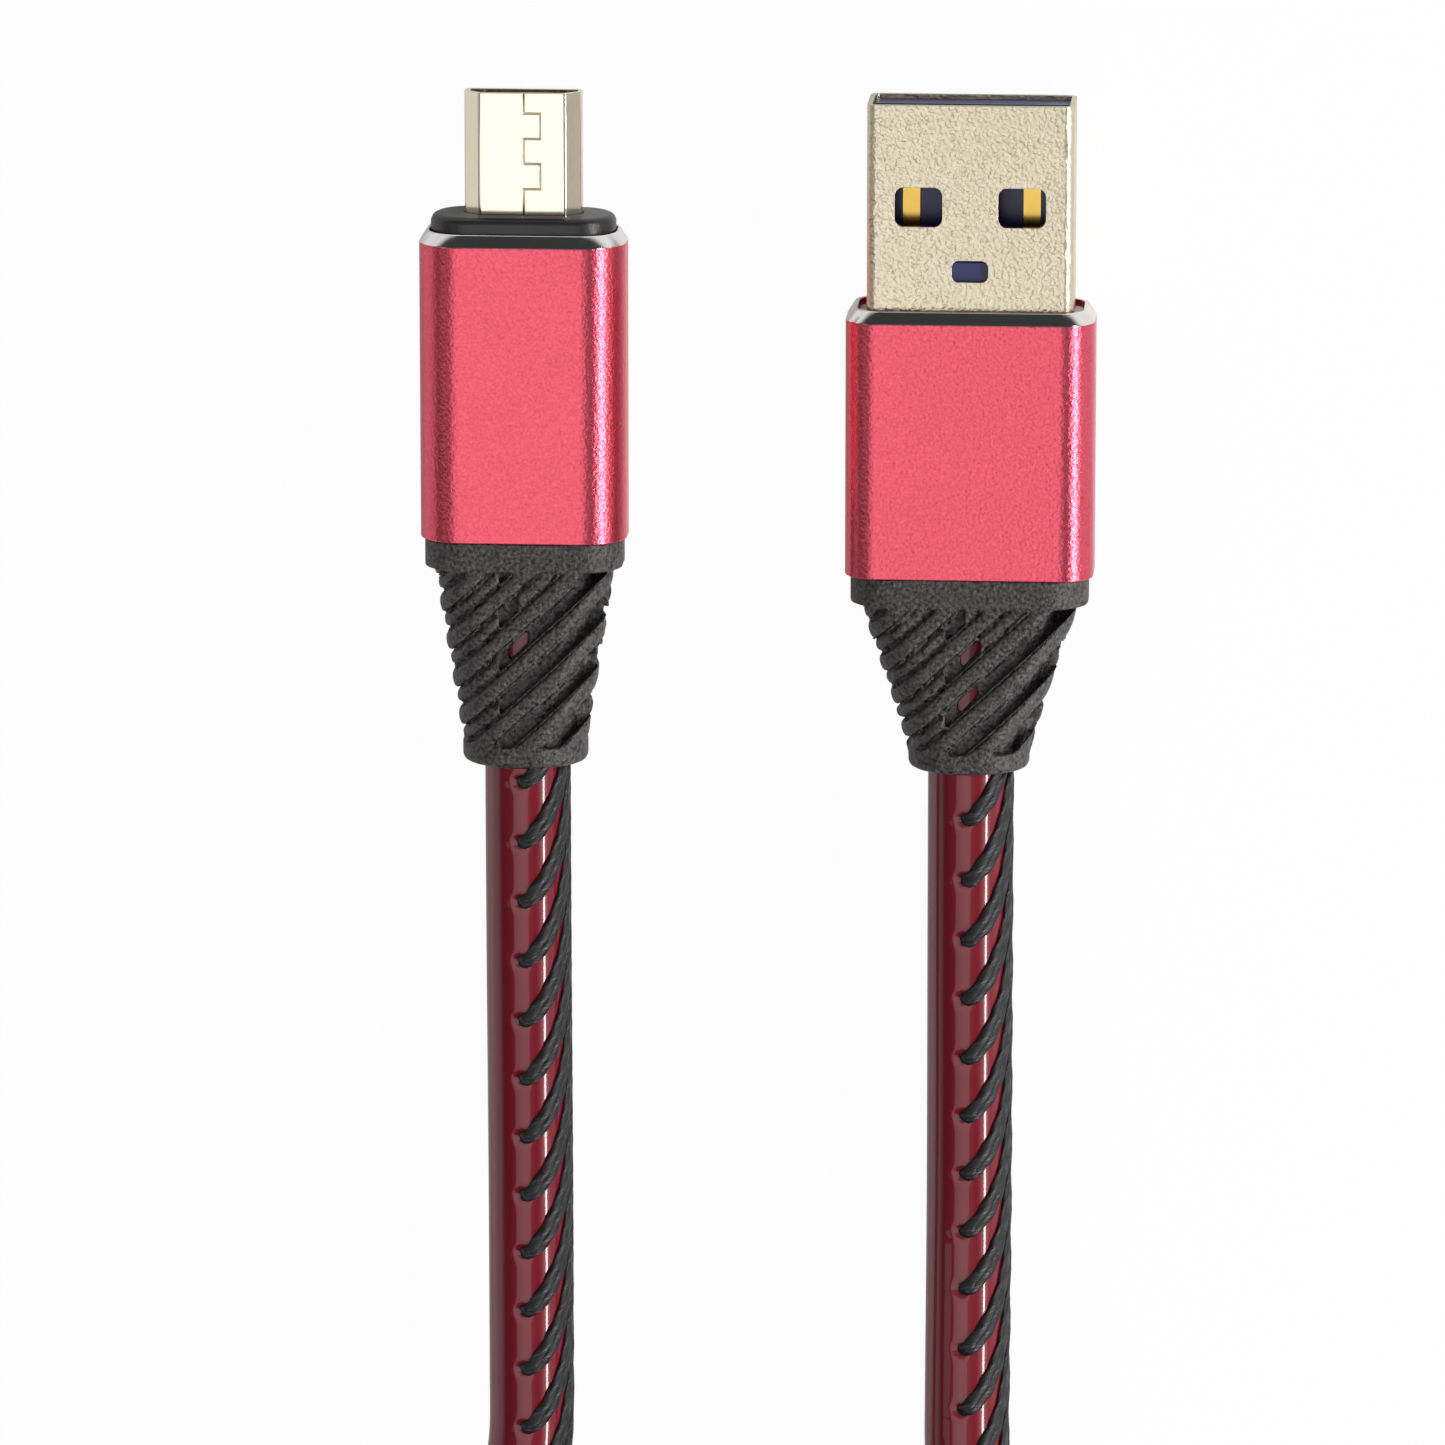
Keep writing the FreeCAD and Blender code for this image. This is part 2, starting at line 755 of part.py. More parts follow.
def wires(x, starts, y_tail, y_jacket):
    """Four wires that draw together from the contacts' tails to the cord's jacket."""
    made = []
    for number, start in enumerate(starts):
        bundle_x = x + (number - 1.5) * wire_bundle_pitch
        points = [
            vec(x + start, y_tail, mid_z),
            vec(x + start, y_tail - wire_straight, mid_z),
            vec(bundle_x, y_jacket + wire_straight, mid_z),
            vec(bundle_x, y_jacket, mid_z),
        ]
        made.append(wire_tube(points))
    return made


def arc_from(start, heading, end):
    """The arc that leaves start along heading and reaches end."""
    chord = end - start
    along = vec(chord.x, chord.y, chord.z).normalize()
    half_sweep = heading.getAngle(chord)
    bulge = (heading - along * heading.dot(along)).normalize()
    middle = start + chord * 0.5 + bulge * (chord.Length / 2 * math.tan(half_sweep / 2))
    return Part.Arc(start, middle, end).toShape()


def biarc(start, heading, end, end_heading):
    """Two arcs that join two points and their headings smoothly."""
    chord = end - start
    both = heading + end_heading
    square = 2 * (1 - heading.dot(end_heading))
    lean = chord.dot(both)
    reach = (-lean + math.sqrt(lean * lean + square * chord.dot(chord))) / square
    joint = (start + end + (heading - end_heading) * reach) * 0.5
    first = arc_from(start, heading, joint)
    back = arc_from(end, end_heading * -1, joint)
    middle = back.valueAt((back.FirstParameter + back.LastParameter) / 2)
    return [first, Part.Arc(joint, middle, end).toShape()]


coil_x = (device_x + host_x) / 2
coil_step = cord_diameter + coil_gap
coil_floor_z = cord_diameter / 2
coil_top_z = coil_floor_z + coil_step
coil_lean = math.atan(coil_step / (2 * math.pi * coil_outer_radius))
coil_run = lead_run_to_coil + cord_diameter
coil_reach = coil_outer_radius + coil_run * math.sin(coil_lean)
coil_cross = coil_run * math.cos(coil_lean)
coil_entry = (
    math.acos(plug_spacing / 2 / math.hypot(coil_reach, coil_cross)) - math.atan2(coil_cross, coil_reach)
)
coil_turns = coil_whole_turns + 0.5 + coil_entry / math.pi


def coil_point(turn):
    """A place on the coil and its heading, turn counted from the device plug's end."""
    angle = math.pi - coil_entry + 2 * math.pi * turn
    middle = coil_turns / 2
    inward = min(turn, coil_turns - turn)
    radius = coil_outer_radius - coil_step * inward
    outward = 0.0 if abs(turn - middle) < 1e-6 else math.copysign(coil_step, turn - middle)
    climb = 0.0
    if abs(turn - middle) < 1e-6:
        z = (coil_floor_z + coil_top_z) / 2
        climb = 4 * coil_step
    elif turn < middle:
        z = coil_floor_z
    else:
        z = coil_top_z
    if abs(turn - coil_turns) < 1e-6:
        last = (coil_turns / 2) % 0.25
        fall = math.tan(math.radians(coil_end_slope))
        climb = -fall * 2 * math.pi * radius
        z = coil_top_z - fall * last * math.pi * radius
    around = 2 * math.pi * radius
    point = vec(coil_x + radius * math.cos(angle), coil_centre_y + radius * math.sin(angle), z)
    heading = vec(
        outward * math.cos(angle) - around * math.sin(angle),
        outward * math.sin(angle) + around * math.cos(angle),
        climb,
    )
    return point, heading.normalize()


def coil_edges():
    """The coil's whole path: a straight end, quarter turns in and out, and a straight end."""
    middle = coil_turns / 2
    quarters = int(middle / 0.25)
    stops = [0.0] + [middle + k * 0.25 for k in range(-quarters, quarters + 1)] + [coil_turns]
    places = [coil_point(stop) for stop in stops]
    (first, first_heading), (last, last_heading) = places[0], places[-1]
    edges = [Part.LineSegment(first - first_heading * cord_diameter, first).toShape()]
    for (start, heading), (end, end_heading) in zip(places, places[1:]):
        edges += biarc(start, heading, end, end_heading)
    edges.append(Part.LineSegment(last, last + last_heading * cord_diameter).toShape())
    return edges


def least_gap(edges):
    """How near the coil's turns come to each other, skin to skin, measured on points."""
    step = 2.0
    points = []
    travelled = 0.0
    for edge in edges:
        count = max(int(edge.Length / step), 2)
        for k in range(count):
            along = edge.Length * k / count
            place = edge.valueAt(edge.getParameterByLength(along))
            points.append((travelled + along, place))
        travelled += edge.Length
    apart = math.pi * (coil_outer_radius - coil_step * coil_turns / 2)
    nearest = min(
        (p - q).Length for i, (s, p) in enumerate(points) for t, q in points[i + 1 :] if t - s > apart
    )
    return nearest - cord_diameter


def lead_route(x, coil_end):
    """A free stretch: level out of the boot, down to the floor, straight on, then in to the coil."""
    place, inward = coil_end
    corner = place - inward * coil_run
    end = place - inward * cord_diameter
    level_y = boot_end_y - lead_level_run
    return [
        vec(x, boot_end_y, mid_z),
        vec(x, level_y, mid_z),
        vec(x, level_y - lead_sinking_run, coil_floor_z),
        vec(x, corner.y, corner.z),
        end,
    ]


# Make and write every piece

os.makedirs("parts", exist_ok=True)

# Host plug
pads = host_contacts()
host_wires = wires(host_x, host_pad_x, host_tail_y, host_jacket_y)
clamp = crimp_clamp()
host_cover_y = host_sleeve_back_y + boot_spigot_length / 2
host_mould_back_y = host_sleeve_back_y + boot_spigot_length
host_jacket = rod(cord_jacket_diameter / 2, host_x, boot_end_y, host_jacket_y)
host_cover = rod(cord_diameter / 2, host_x, boot_end_y, host_cover_y).cut(host_jacket)
host_mould = filling(
    host_sleeve_width,
    host_sleeve_wall,
    host_sleeve_corner,
    host_x,
    host_mould_back_y,
    host_sleeve_front_y - host_mould_recess,
)
host_mould = host_mould.cut(
    bar(host_tip_width, host_tip_height, host_tip_corner, host_x, host_rear_y, host_mouth_y)
)
for filler in pads + host_wires + [clamp, host_jacket]:
    host_mould = host_mould.cut(filler)
host_spigot = filling(
    host_sleeve_width, host_sleeve_wall, host_sleeve_corner, host_x, host_sleeve_back_y, host_mould_back_y
)
save("host_shell", host_shell())
save("host_tongue", host_tongue(pads))
for number, pad in enumerate(pads, 1):
    save(f"host_contact_{number}", pad)
wire_colours = ["red", "white", "green", "black"]
for colour, wire in zip(wire_colours, host_wires):
    save("host_wire_" + colour, wire)
save("host_crimp_clamp", clamp)
save("host_inner_mould", host_mould)
save("host_cord_jacket", host_jacket)
save("host_cord_cover", host_cover)
save(
    "host_sleeve",
    sleeve(
        host_sleeve_width, host_sleeve_length, host_sleeve_wall, host_sleeve_corner, host_x, host_sleeve_front_y
    ),
)
save(
    "host_boot",
    boot(
        host_x,
        host_sleeve_back_y,
        host_boot_width,
        host_ring_width,
        host_groove_phase,
        host_spigot,
        host_cover_y,
        host_boot_windows,
    ),
)

# Device plug
leaves = device_contacts()
pin_x = [(pin - 2) * device_contact_pitch for pin in (0, 1, 2, 4)]
device_wires = wires(device_x, pin_x, device_tail_y, device_jacket_y)
device_cover_y = device_sleeve_back_y + boot_spigot_length / 2
device_mould_back_y = device_sleeve_back_y + boot_spigot_length
device_jacket = rod(cord_jacket_diameter / 2, device_x, boot_end_y, device_jacket_y)
device_cover = rod(cord_diameter / 2, device_x, boot_end_y, device_cover_y).cut(device_jacket)
device_mould = filling(
    device_sleeve_width,
    device_sleeve_wall,
    device_sleeve_corner,
    device_x,
    device_mould_back_y,
    device_sleeve_front_y - device_nose_depth,
)
device_mould = device_mould.cut(device_bar(0, device_rear_y, device_mouth_y))
for filler in leaves + device_wires + [device_jacket]:
    device_mould = device_mould.cut(filler)
device_spigot = filling(
    device_sleeve_width,
    device_sleeve_wall,
    device_sleeve_corner,
    device_x,
    device_sleeve_back_y,
    device_mould_back_y,
)
save("device_shell", device_shell())
save("device_tongue", device_tongue(leaves))
for number, leaf in enumerate(leaves, 1):
    save(f"device_contact_{number}", leaf)
for side in latch_sides:
    save("device_latch_" + side, device_latch(side))
for colour, wire in zip(wire_colours, device_wires):
    save("device_wire_" + colour, wire)
save("device_nose", device_nose())
save("device_inner_mould", device_mould)
save("device_cord_jacket", device_jacket)
save("device_cord_cover", device_cover)
save(
    "device_sleeve",
    sleeve(
        device_sleeve_width,
        device_sleeve_length,
        device_sleeve_wall,
        device_sleeve_corner,
        device_x,
        device_sleeve_front_y,
    ),
)
save(
    "device_boot",
    boot(
        device_x,
        device_sleeve_back_y,
        device_boot_width,
        device_ring_width,
        device_groove_phase,
        device_spigot,
        device_cover_y,
        device_boot_windows,
    ),
)

# Cord
coil_path = coil_edges()
coil_start = coil_point(0.0)
coil_finish = coil_point(coil_turns)
device_end = (coil_start[0], coil_start[1])
host_end = (coil_finish[0], coil_finish[1] * -1)
free_length = sum(edge.Length for edge in coil_path)
save("cord_coil", cord_tube(coil_path, coil_start[1]))
for name, x, coil_end in (("device", device_x, device_end), ("host", host_x, host_end)):
    route = lead_route(x, coil_end)
    lead_edges, lead_radii = rounded_path(route)
    free_length += sum(edge.Length for edge in lead_edges)
    print(name, "lead radii", [round(radius, 1) for radius in lead_radii])
    print(name, "lead route", [tuple(round(value, 2) for value in point) for point in route])
    save("cord_lead_" + name, cord_tube(lead_edges, vec(0, -1, 0)))
print(f"coil turns {coil_turns:.3f}, least gap {least_gap(coil_path):.3f} mm")
print(f"free cord {free_length:.1f} mm, tip to tip {free_length + 4 * half_length - host_tip_setback:.1f} mm")
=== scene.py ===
# %% [markdown]
# # A red charging cable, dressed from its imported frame
# The object is a phone cable: two plugs in red aluminium sleeves, black ribbed strain reliefs, and a
# glossy leather-covered cord with black whip stitching along one side. Its length is put away in a coil.
# The frame brings every solid of the design in place. Each part of the lesson takes one group of
# pieces, gives it its true surface, and ties it to the body that it moves with.

# %% Load the frame and remember its size
import math
import bmesh
import bpy
from mathutils import Matrix, Vector


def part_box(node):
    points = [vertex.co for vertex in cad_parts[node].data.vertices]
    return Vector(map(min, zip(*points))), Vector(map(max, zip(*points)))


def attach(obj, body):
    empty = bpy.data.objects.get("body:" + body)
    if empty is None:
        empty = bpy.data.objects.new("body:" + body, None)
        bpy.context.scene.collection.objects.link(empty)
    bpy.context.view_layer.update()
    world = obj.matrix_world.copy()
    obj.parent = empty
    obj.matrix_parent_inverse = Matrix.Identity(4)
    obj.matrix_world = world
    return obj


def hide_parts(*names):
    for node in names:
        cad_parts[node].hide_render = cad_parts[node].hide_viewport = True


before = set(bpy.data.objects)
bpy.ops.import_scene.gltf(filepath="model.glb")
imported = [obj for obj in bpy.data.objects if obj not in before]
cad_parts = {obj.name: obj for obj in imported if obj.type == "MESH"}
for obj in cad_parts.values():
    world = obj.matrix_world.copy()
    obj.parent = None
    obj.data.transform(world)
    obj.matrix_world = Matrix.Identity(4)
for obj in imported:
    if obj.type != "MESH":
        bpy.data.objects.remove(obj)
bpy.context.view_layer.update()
print("nodes in the frame:", len(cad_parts))

# %% [markdown]
# ## Sizes that the pieces share
# The design is drawn in millimetres and Blender works in metres, so one factor turns the first into
# the second. These few sizes are repeated from the design because new pieces are built on them.

# %% Sizes
MM = 0.001
MID_Z = 3.2 * MM
DEVICE_X = -13.65 * MM
HOST_X = 12.45 * MM
CORD_RADIUS = 2.4 * MM
BOOT_END_Y = -19.85 * MM

# %% [markdown]
# ## The camera
# The photograph looks almost straight down on the cable from far away, a little from the tips' side,
# so that the mouths show, and a little from the right. A long lens far off keeps both plugs nearly
# free of perspective. The camera comes first because everything after it is judged through it.

# %% Camera


def facing(away):
    """The turn of a camera or lamp that looks back along a direction, with the tips' side upwards."""
    upwards = (Vector((0, 1, 0)) - away * away.y).normalized()
    return Matrix((upwards.cross(away), upwards, away)).transposed().to_quaternion()


VIEW_WIDTH = 85.0 * MM
CAMERA_DISTANCE = 0.6
view_centre = Vector((-2.1, -17.7, 2.5)) * MM
FROM_THE_RIGHT = math.radians(4.0)
FROM_THE_TIPS = math.radians(13.0)
away = Vector((math.sin(FROM_THE_RIGHT), math.sin(FROM_THE_TIPS), 1.0)).normalized()
camera_data = bpy.data.cameras.new("photo_camera")
camera_data.sensor_width = 36.0
camera_data.lens = 36.0 * CAMERA_DISTANCE / VIEW_WIDTH
camera_data.clip_start = 0.05
camera_data.clip_end = 10.0
camera = bpy.data.objects.new("photo_camera", camera_data)
bpy.context.scene.collection.objects.link(camera)
camera.location = view_centre + away * CAMERA_DISTANCE
camera.rotation_mode = "QUATERNION"
camera.rotation_quaternion = facing(away)
bpy.context.scene.camera = camera
bpy.context.scene.view_settings.view_transform = "Standard"
print("lens in mm:", round(camera_data.lens, 1))

# %% [markdown]
# ## Studio: floor, surroundings and lamps
# A product photograph is lit by a large soft box above and a narrow strip light at one side. The soft
# box fills the flat faces and the strip draws the thin bright line along the cord. The room round them
# is darker at middle heights, which gives metal its dark bands. The floor is white where the camera
# and mirrors see it, and still takes a soft shadow.

# %% Floor and surroundings
bpy.ops.object.select_all(action="DESELECT")
bpy.ops.mesh.primitive_plane_add(size=6.0, location=(0, 0, 0))
floor = bpy.context.active_object
floor.name = "studio_floor"


def new_material(name):
    """An empty node material and its node tree."""
    material = bpy.data.materials.new(name)
    material.use_nodes = True
    tree = material.node_tree
    tree.nodes.clear()
    return material, tree


def node(tree, kind, place, **values):
    """A node at a place in its tree, with the values of its named sockets."""
    made = tree.nodes.new(kind)
    made.location = place
    for key, value in values.items():
        made.inputs[key.replace("_", " ")].default_value = value
    return made


GLOW_IN_MIRRORS = 0.25
GLOW_IN_CAMERA = 0.96
floor_paint, tree = new_material("white_sweep")
lit = node(tree, "ShaderNodeBsdfDiffuse", (-200, 100), Color=(0.9, 0.9, 0.9, 1))
glow = node(tree, "ShaderNodeEmission", (-200, -50), Color=(1, 1, 1, 1), Strength=1.0)
rays = node(tree, "ShaderNodeLightPath", (-600, 300))
mirrored = node(tree, "ShaderNodeMath", (-400, 300))
mirrored.operation = "MAXIMUM"
dimmed = node(tree, "ShaderNodeMath", (-200, 300))
dimmed.operation = "MULTIPLY"
dimmed.inputs[1].default_value = GLOW_IN_MIRRORS
seen = node(tree, "ShaderNodeMath", (-200, 500))
seen.operation = "MULTIPLY"
seen.inputs[1].default_value = GLOW_IN_CAMERA
share = node(tree, "ShaderNodeMath", (0, 300))
share.operation = "MAXIMUM"
blend = node(tree, "ShaderNodeMixShader", (200, 100))
out = node(tree, "ShaderNodeOutputMaterial", (400, 100))
tree.links.new(rays.outputs["Is Glossy Ray"], mirrored.inputs[0])
tree.links.new(rays.outputs["Is Transmission Ray"], mirrored.inputs[1])
tree.links.new(mirrored.outputs[0], dimmed.inputs[0])
tree.links.new(rays.outputs["Is Camera Ray"], seen.inputs[0])
tree.links.new(dimmed.outputs[0], share.inputs[0])
tree.links.new(seen.outputs[0], share.inputs[1])
tree.links.new(share.outputs[0], blend.inputs[0])
tree.links.new(lit.outputs[0], blend.inputs[1])
tree.links.new(glow.outputs[0], blend.inputs[2])
tree.links.new(blend.outputs[0], out.inputs["Surface"])
floor.data.materials.append(floor_paint)

world = bpy.data.worlds.new("studio_room")
bpy.context.scene.world = world
world.use_nodes = True
tree = world.node_tree
tree.nodes.clear()
heading = node(tree, "ShaderNodeTexCoord", (-900, 0))
split = node(tree, "ShaderNodeSeparateXYZ", (-700, 0))
bands = node(tree, "ShaderNodeValToRGB", (-500, 0))
bands.color_ramp.elements[0].position = 0.0
bands.color_ramp.elements[0].color = (0.9, 0.9, 0.9, 1)
bands.color_ramp.elements[1].position = 1.0
bands.color_ramp.elements[1].color = (0.55, 0.55, 0.55, 1)
for place, level in ((0.16, 0.75), (0.34, 0.04), (0.84, 0.04), (0.95, 0.40)):
    stop = bands.color_ramp.elements.new(place)
    stop.color = (level, level, level, 1)
room = node(tree, "ShaderNodeBackground", (-200, 100))
white = node(tree, "ShaderNodeBackground", (-200, -50), Color=(1, 1, 1, 1), Strength=1.0)
rays = node(tree, "ShaderNodeLightPath", (-400, 300))
blend = node(tree, "ShaderNodeMixShader", (0, 100))
out = node(tree, "ShaderNodeOutputWorld", (200, 100))
tree.links.new(heading.outputs["Generated"], split.inputs[0])
tree.links.new(split.outputs["Z"], bands.inputs[0])
tree.links.new(bands.outputs[0], room.inputs["Color"])
tree.links.new(rays.outputs["Is Camera Ray"], blend.inputs[0])
tree.links.new(room.outputs[0], blend.inputs[1])
tree.links.new(white.outputs[0], blend.inputs[2])
tree.links.new(blend.outputs[0], out.inputs["Surface"])

# %% Lamps


def lamp(name, direction, distance, size, size_y, power):
    """A rectangular soft light that hangs in a direction and faces the plugs."""
    data = bpy.data.lights.new(name, "AREA")
    data.shape = "RECTANGLE"
    data.size = size
    data.size_y = size_y
    data.energy = power
    made = bpy.data.objects.new(name, data)
    bpy.context.scene.collection.objects.link(made)
    made.location = Vector((0, -10 * MM, 0)) + Vector(direction).normalized() * distance
    made.rotation_mode = "QUATERNION"
    made.rotation_quaternion = facing(Vector(direction).normalized())


lamp("soft_box", (-0.20, -0.24, 0.97), 0.7, 0.50, 0.46, 0.80)
STRIP_ANGLE = math.radians(55)
lamp("strip_light", (math.sin(STRIP_ANGLE), -0.1, math.cos(STRIP_ANGLE)), 0.6, 0.060, 0.9, 4.6)
lamp("left_fill", (-0.9, 0.1, 0.75), 0.8, 0.3, 0.5, 0.35)

# %% [markdown]
# ## Surface effects that several finishes share
# Cast, blasted and moulded surfaces all carry a small grain, and everything that is handled has a
# faint unevenness in its gloss. Each effect is one node group with its own inputs, so that a finish
# only has to say how coarse and how strong it is.

# %% Grain group


def new_group(name, inputs, outputs):
    """A shader node group with float inputs and named outputs."""
    group = bpy.data.node_groups.new(name, "ShaderNodeTree")
    for label, value in inputs:
        socket = group.interface.new_socket(label, in_out="INPUT", socket_type="NodeSocketFloat")
        socket.default_value = value
    for label, kind in outputs:
        group.interface.new_socket(label, in_out="OUTPUT", socket_type=kind)
    return group, group.nodes.new("NodeGroupInput"), group.nodes.new("NodeGroupOutput")


grain, ins, outs = new_group(
    "moulded_grain", [("Size", 3000.0), ("Sharpness", 0.5)], [("Height", "NodeSocketFloat")]
)
place = node(grain, "ShaderNodeTexCoord", (-700, 0))
pebbles = node(grain, "ShaderNodeTexNoise", (-450, 100), Detail=2.0, Roughness=0.55)
cells = node(grain, "ShaderNodeTexVoronoi", (-450, -200))
join = node(grain, "ShaderNodeMix", (-200, 0))
grain.links.new(place.outputs["Object"], pebbles.inputs["Vector"])
grain.links.new(place.outputs["Object"], cells.inputs["Vector"])
grain.links.new(ins.outputs["Size"], pebbles.inputs["Scale"])
grain.links.new(ins.outputs["Size"], cells.inputs["Scale"])
grain.links.new(ins.outputs["Sharpness"], join.inputs["Factor"])
grain.links.new(pebbles.outputs["Fac"], join.inputs["A"])
grain.links.new(cells.outputs["Distance"], join.inputs["B"])
grain.links.new(join.outputs["Result"], outs.inputs["Height"])

# %% Handling group
handling, ins, outs = new_group(
    "handling_marks", [("Size", 180.0), ("Low", 0.3), ("High", 0.4)], [("Gloss", "NodeSocketFloat")]
)
place = node(handling, "ShaderNodeTexCoord", (-700, 0))
smears = node(handling, "ShaderNodeTexNoise", (-450, 0), Detail=4.0, Roughness=0.6)
spread = node(handling, "ShaderNodeMapRange", (-200, 0))
handling.links.new(place.outputs["Object"], smears.inputs["Vector"])
handling.links.new(ins.outputs["Size"], smears.inputs["Scale"])
handling.links.new(smears.outputs["Fac"], spread.inputs["Value"])
handling.links.new(ins.outputs["Low"], spread.inputs["To Min"])
handling.links.new(ins.outputs["High"], spread.inputs["To Max"])
handling.links.new(spread.outputs["Result"], outs.inputs["Gloss"])

# %% [markdown]
# ## Finishes
# Every finish is a Principled shader of its own. Its colour varies a little with a noise, its gloss
# comes from the handling group and its relief from the grain group. What is the same all over the
# surface, such as how metallic it is, is typed straight into the shader.

# %% One function for the plain finishes


def use_group(tree, group, place, **values):
    """Places a shared group in a material and sets its inputs."""
    made = tree.nodes.new("ShaderNodeGroup")
    made.node_tree = group
    made.location = place
    for key, value in values.items():
        made.inputs[key].default_value = value
    return made


GRAIN_SHARPNESS = 0.3


def finish(name, colour, other, tint_size, gloss, grain_size, grain_depth, spread=0.5, **plain):
    """A finish whose colour wanders between two near colours, with gloss marks and a small grain."""
    material, tree = new_material(name)
    shader = node(tree, "ShaderNodeBsdfPrincipled", (200, 0))
    for key, value in plain.items():
        shader.inputs[key.replace("_", " ")].default_value = value
    out = node(tree, "ShaderNodeOutputMaterial", (500, 0))
    place = node(tree, "ShaderNodeTexCoord", (-900, 300))
    patches = node(tree, "ShaderNodeTexNoise", (-700, 300), Scale=tint_size, Detail=3.0)
    stretched = node(tree, "ShaderNodeMapRange", (-550, 300), From_Min=0.5 - spread, From_Max=0.5 + spread)
    tint = node(tree, "ShaderNodeMix", (-400, 300))
    tint.data_type = "RGBA"
    tint.inputs[6].default_value = (*colour, 1)
    tint.inputs[7].default_value = (*other, 1)
    marks = use_group(tree, handling, (-400, 0), Low=gloss[0], High=gloss[1])
    relief = use_group(tree, grain, (-400, -250), Size=grain_size, Sharpness=GRAIN_SHARPNESS)
    bump = node(tree, "ShaderNodeBump", (-100, -250), Strength=1.0, Distance=grain_depth)
    tree.links.new(place.outputs["Object"], patches.inputs["Vector"])
    tree.links.new(patches.outputs["Fac"], stretched.inputs["Value"])
    tree.links.new(stretched.outputs["Result"], tint.inputs[0])
    tree.links.new(tint.outputs[2], shader.inputs["Base Color"])
    tree.links.new(marks.outputs["Gloss"], shader.inputs["Roughness"])
    tree.links.new(relief.outputs["Height"], bump.inputs["Height"])
    tree.links.new(bump.outputs["Normal"], shader.inputs["Normal"])
    tree.links.new(shader.outputs[0], out.inputs["Surface"])
    return material


# %% Metal finishes
pebbled_nickel = finish(
    "pebbled_nickel", (0.76, 0.68, 0.52), (0.62, 0.54, 0.40), 4600, (0.26, 0.33), 4400, 0.060 * MM,
    Metallic=1.0
)
bright_nickel = finish(
    "bright_nickel", (0.84, 0.76, 0.60), (0.78, 0.70, 0.55), 500, (0.12, 0.20), 2500, 0.002 * MM,
    Metallic=1.0
)
red_aluminium = finish(
    "red_aluminium", (0.79, 0.118, 0.172), (0.62, 0.078, 0.118), 5600, (0.26, 0.31), 5200, 0.032 * MM,
    spread=0.25, Metallic=1.0
)
cut_aluminium = finish(
    "cut_aluminium", (0.86, 0.85, 0.84), (0.78, 0.77, 0.76), 900, (0.10, 0.18), 2500, 0.002 * MM,
    Metallic=1.0
)
spring_steel = finish(
    "spring_steel", (0.70, 0.68, 0.64), (0.62, 0.60, 0.56), 900, (0.20, 0.30), 2500, 0.002 * MM,
    Metallic=1.0
)
contact_gold = finish(
    "contact_gold", (0.62, 0.42, 0.10), (0.52, 0.33, 0.07), 900, (0.15, 0.25), 2500, 0.002 * MM,
    Metallic=1.0
)

# %% Plastic and rubber finishes
boot_rubber = finish(
    "boot_rubber", (0.095, 0.085, 0.082), (0.001, 0.001, 0.001), 4300, (0.42, 0.60), 4600, 0.12 * MM,
    spread=0.17
)
nose_plastic = finish(
    "nose_plastic", (0.022, 0.021, 0.022), (0.014, 0.014, 0.015), 500, (0.30, 0.45), 3800, 0.016 * MM
)
tongue_black = finish(
    "tongue_black", (0.02, 0.02, 0.022), (0.03, 0.03, 0.032), 700, (0.4, 0.5), 3000, 0.004 * MM
)
tongue_blue = finish(
    "tongue_blue", (0.010, 0.014, 0.10), (0.014, 0.020, 0.13), 700, (0.3, 0.4), 3000, 0.004 * MM
)
mould_white = finish(
    "mould_white", (0.80, 0.79, 0.75), (0.72, 0.71, 0.67), 300, (0.4, 0.5), 2500, 0.006 * MM
)
jacket_black = finish(
    "jacket_black", (0.03, 0.03, 0.03), (0.02, 0.02, 0.02), 300, (0.4, 0.5), 2500, 0.006 * MM
)
wire_paint = {}
for colour, value in {
    "red": (0.60, 0.02, 0.02),
    "white": (0.80, 0.80, 0.78),
    "green": (0.02, 0.36, 0.09),
    "black": (0.02, 0.02, 0.02),
}.items():
    faded = tuple(0.8 * part for part in value)
    wire_paint[colour] = finish("wire_" + colour, value, faded, 500, (0.3, 0.4), 2500, 0.004 * MM)

# %% [markdown]
# ## The cord
# The cord is one unbroken line: straight out of each strain relief, down to the surface, and into the
# coil that puts its length away. A NURBS curve of order 3 bends smoothly through its control points.
# The tube is a mesh, so that its rings can follow the curve and the leather can dip at each stitch
# hole. The line is read from the curve first, and both the leather and the thread are laid along it.

# %% Route of the cord
COIL_X = (DEVICE_X + HOST_X) / 2
COIL_Y = -93.9 * MM
COIL_RADIUS = 29.0 * MM
COIL_STEP = 5.25 * MM
COIL_TURNS = 4.717
COIL_START_ANGLE = math.radians(140.96)
COIL_POINTS = 24
COIL_LAST_SHARE = 0.108
COIL_END_SLOPE = math.radians(7.0)
device_lead = [(-13.65, -19.85, 3.2), (-13.65, -29.35, 3.2), (-13.65, -46.35, 2.4), (-13.65, -54.2, 2.4)]
device_corner = [(-13.65, -66.0, 2.4)]
device_entry = [(-20.21, -71.82, 2.4)]
host_entry = [(19.03, -71.85, 5.85)]
host_corner = [(12.45, -66.0, 4.54)]
host_lead = [(12.45, -54.2, 3.4), (12.45, -46.35, 2.4), (12.45, -29.35, 3.2), (12.45, -19.85, 3.2)]


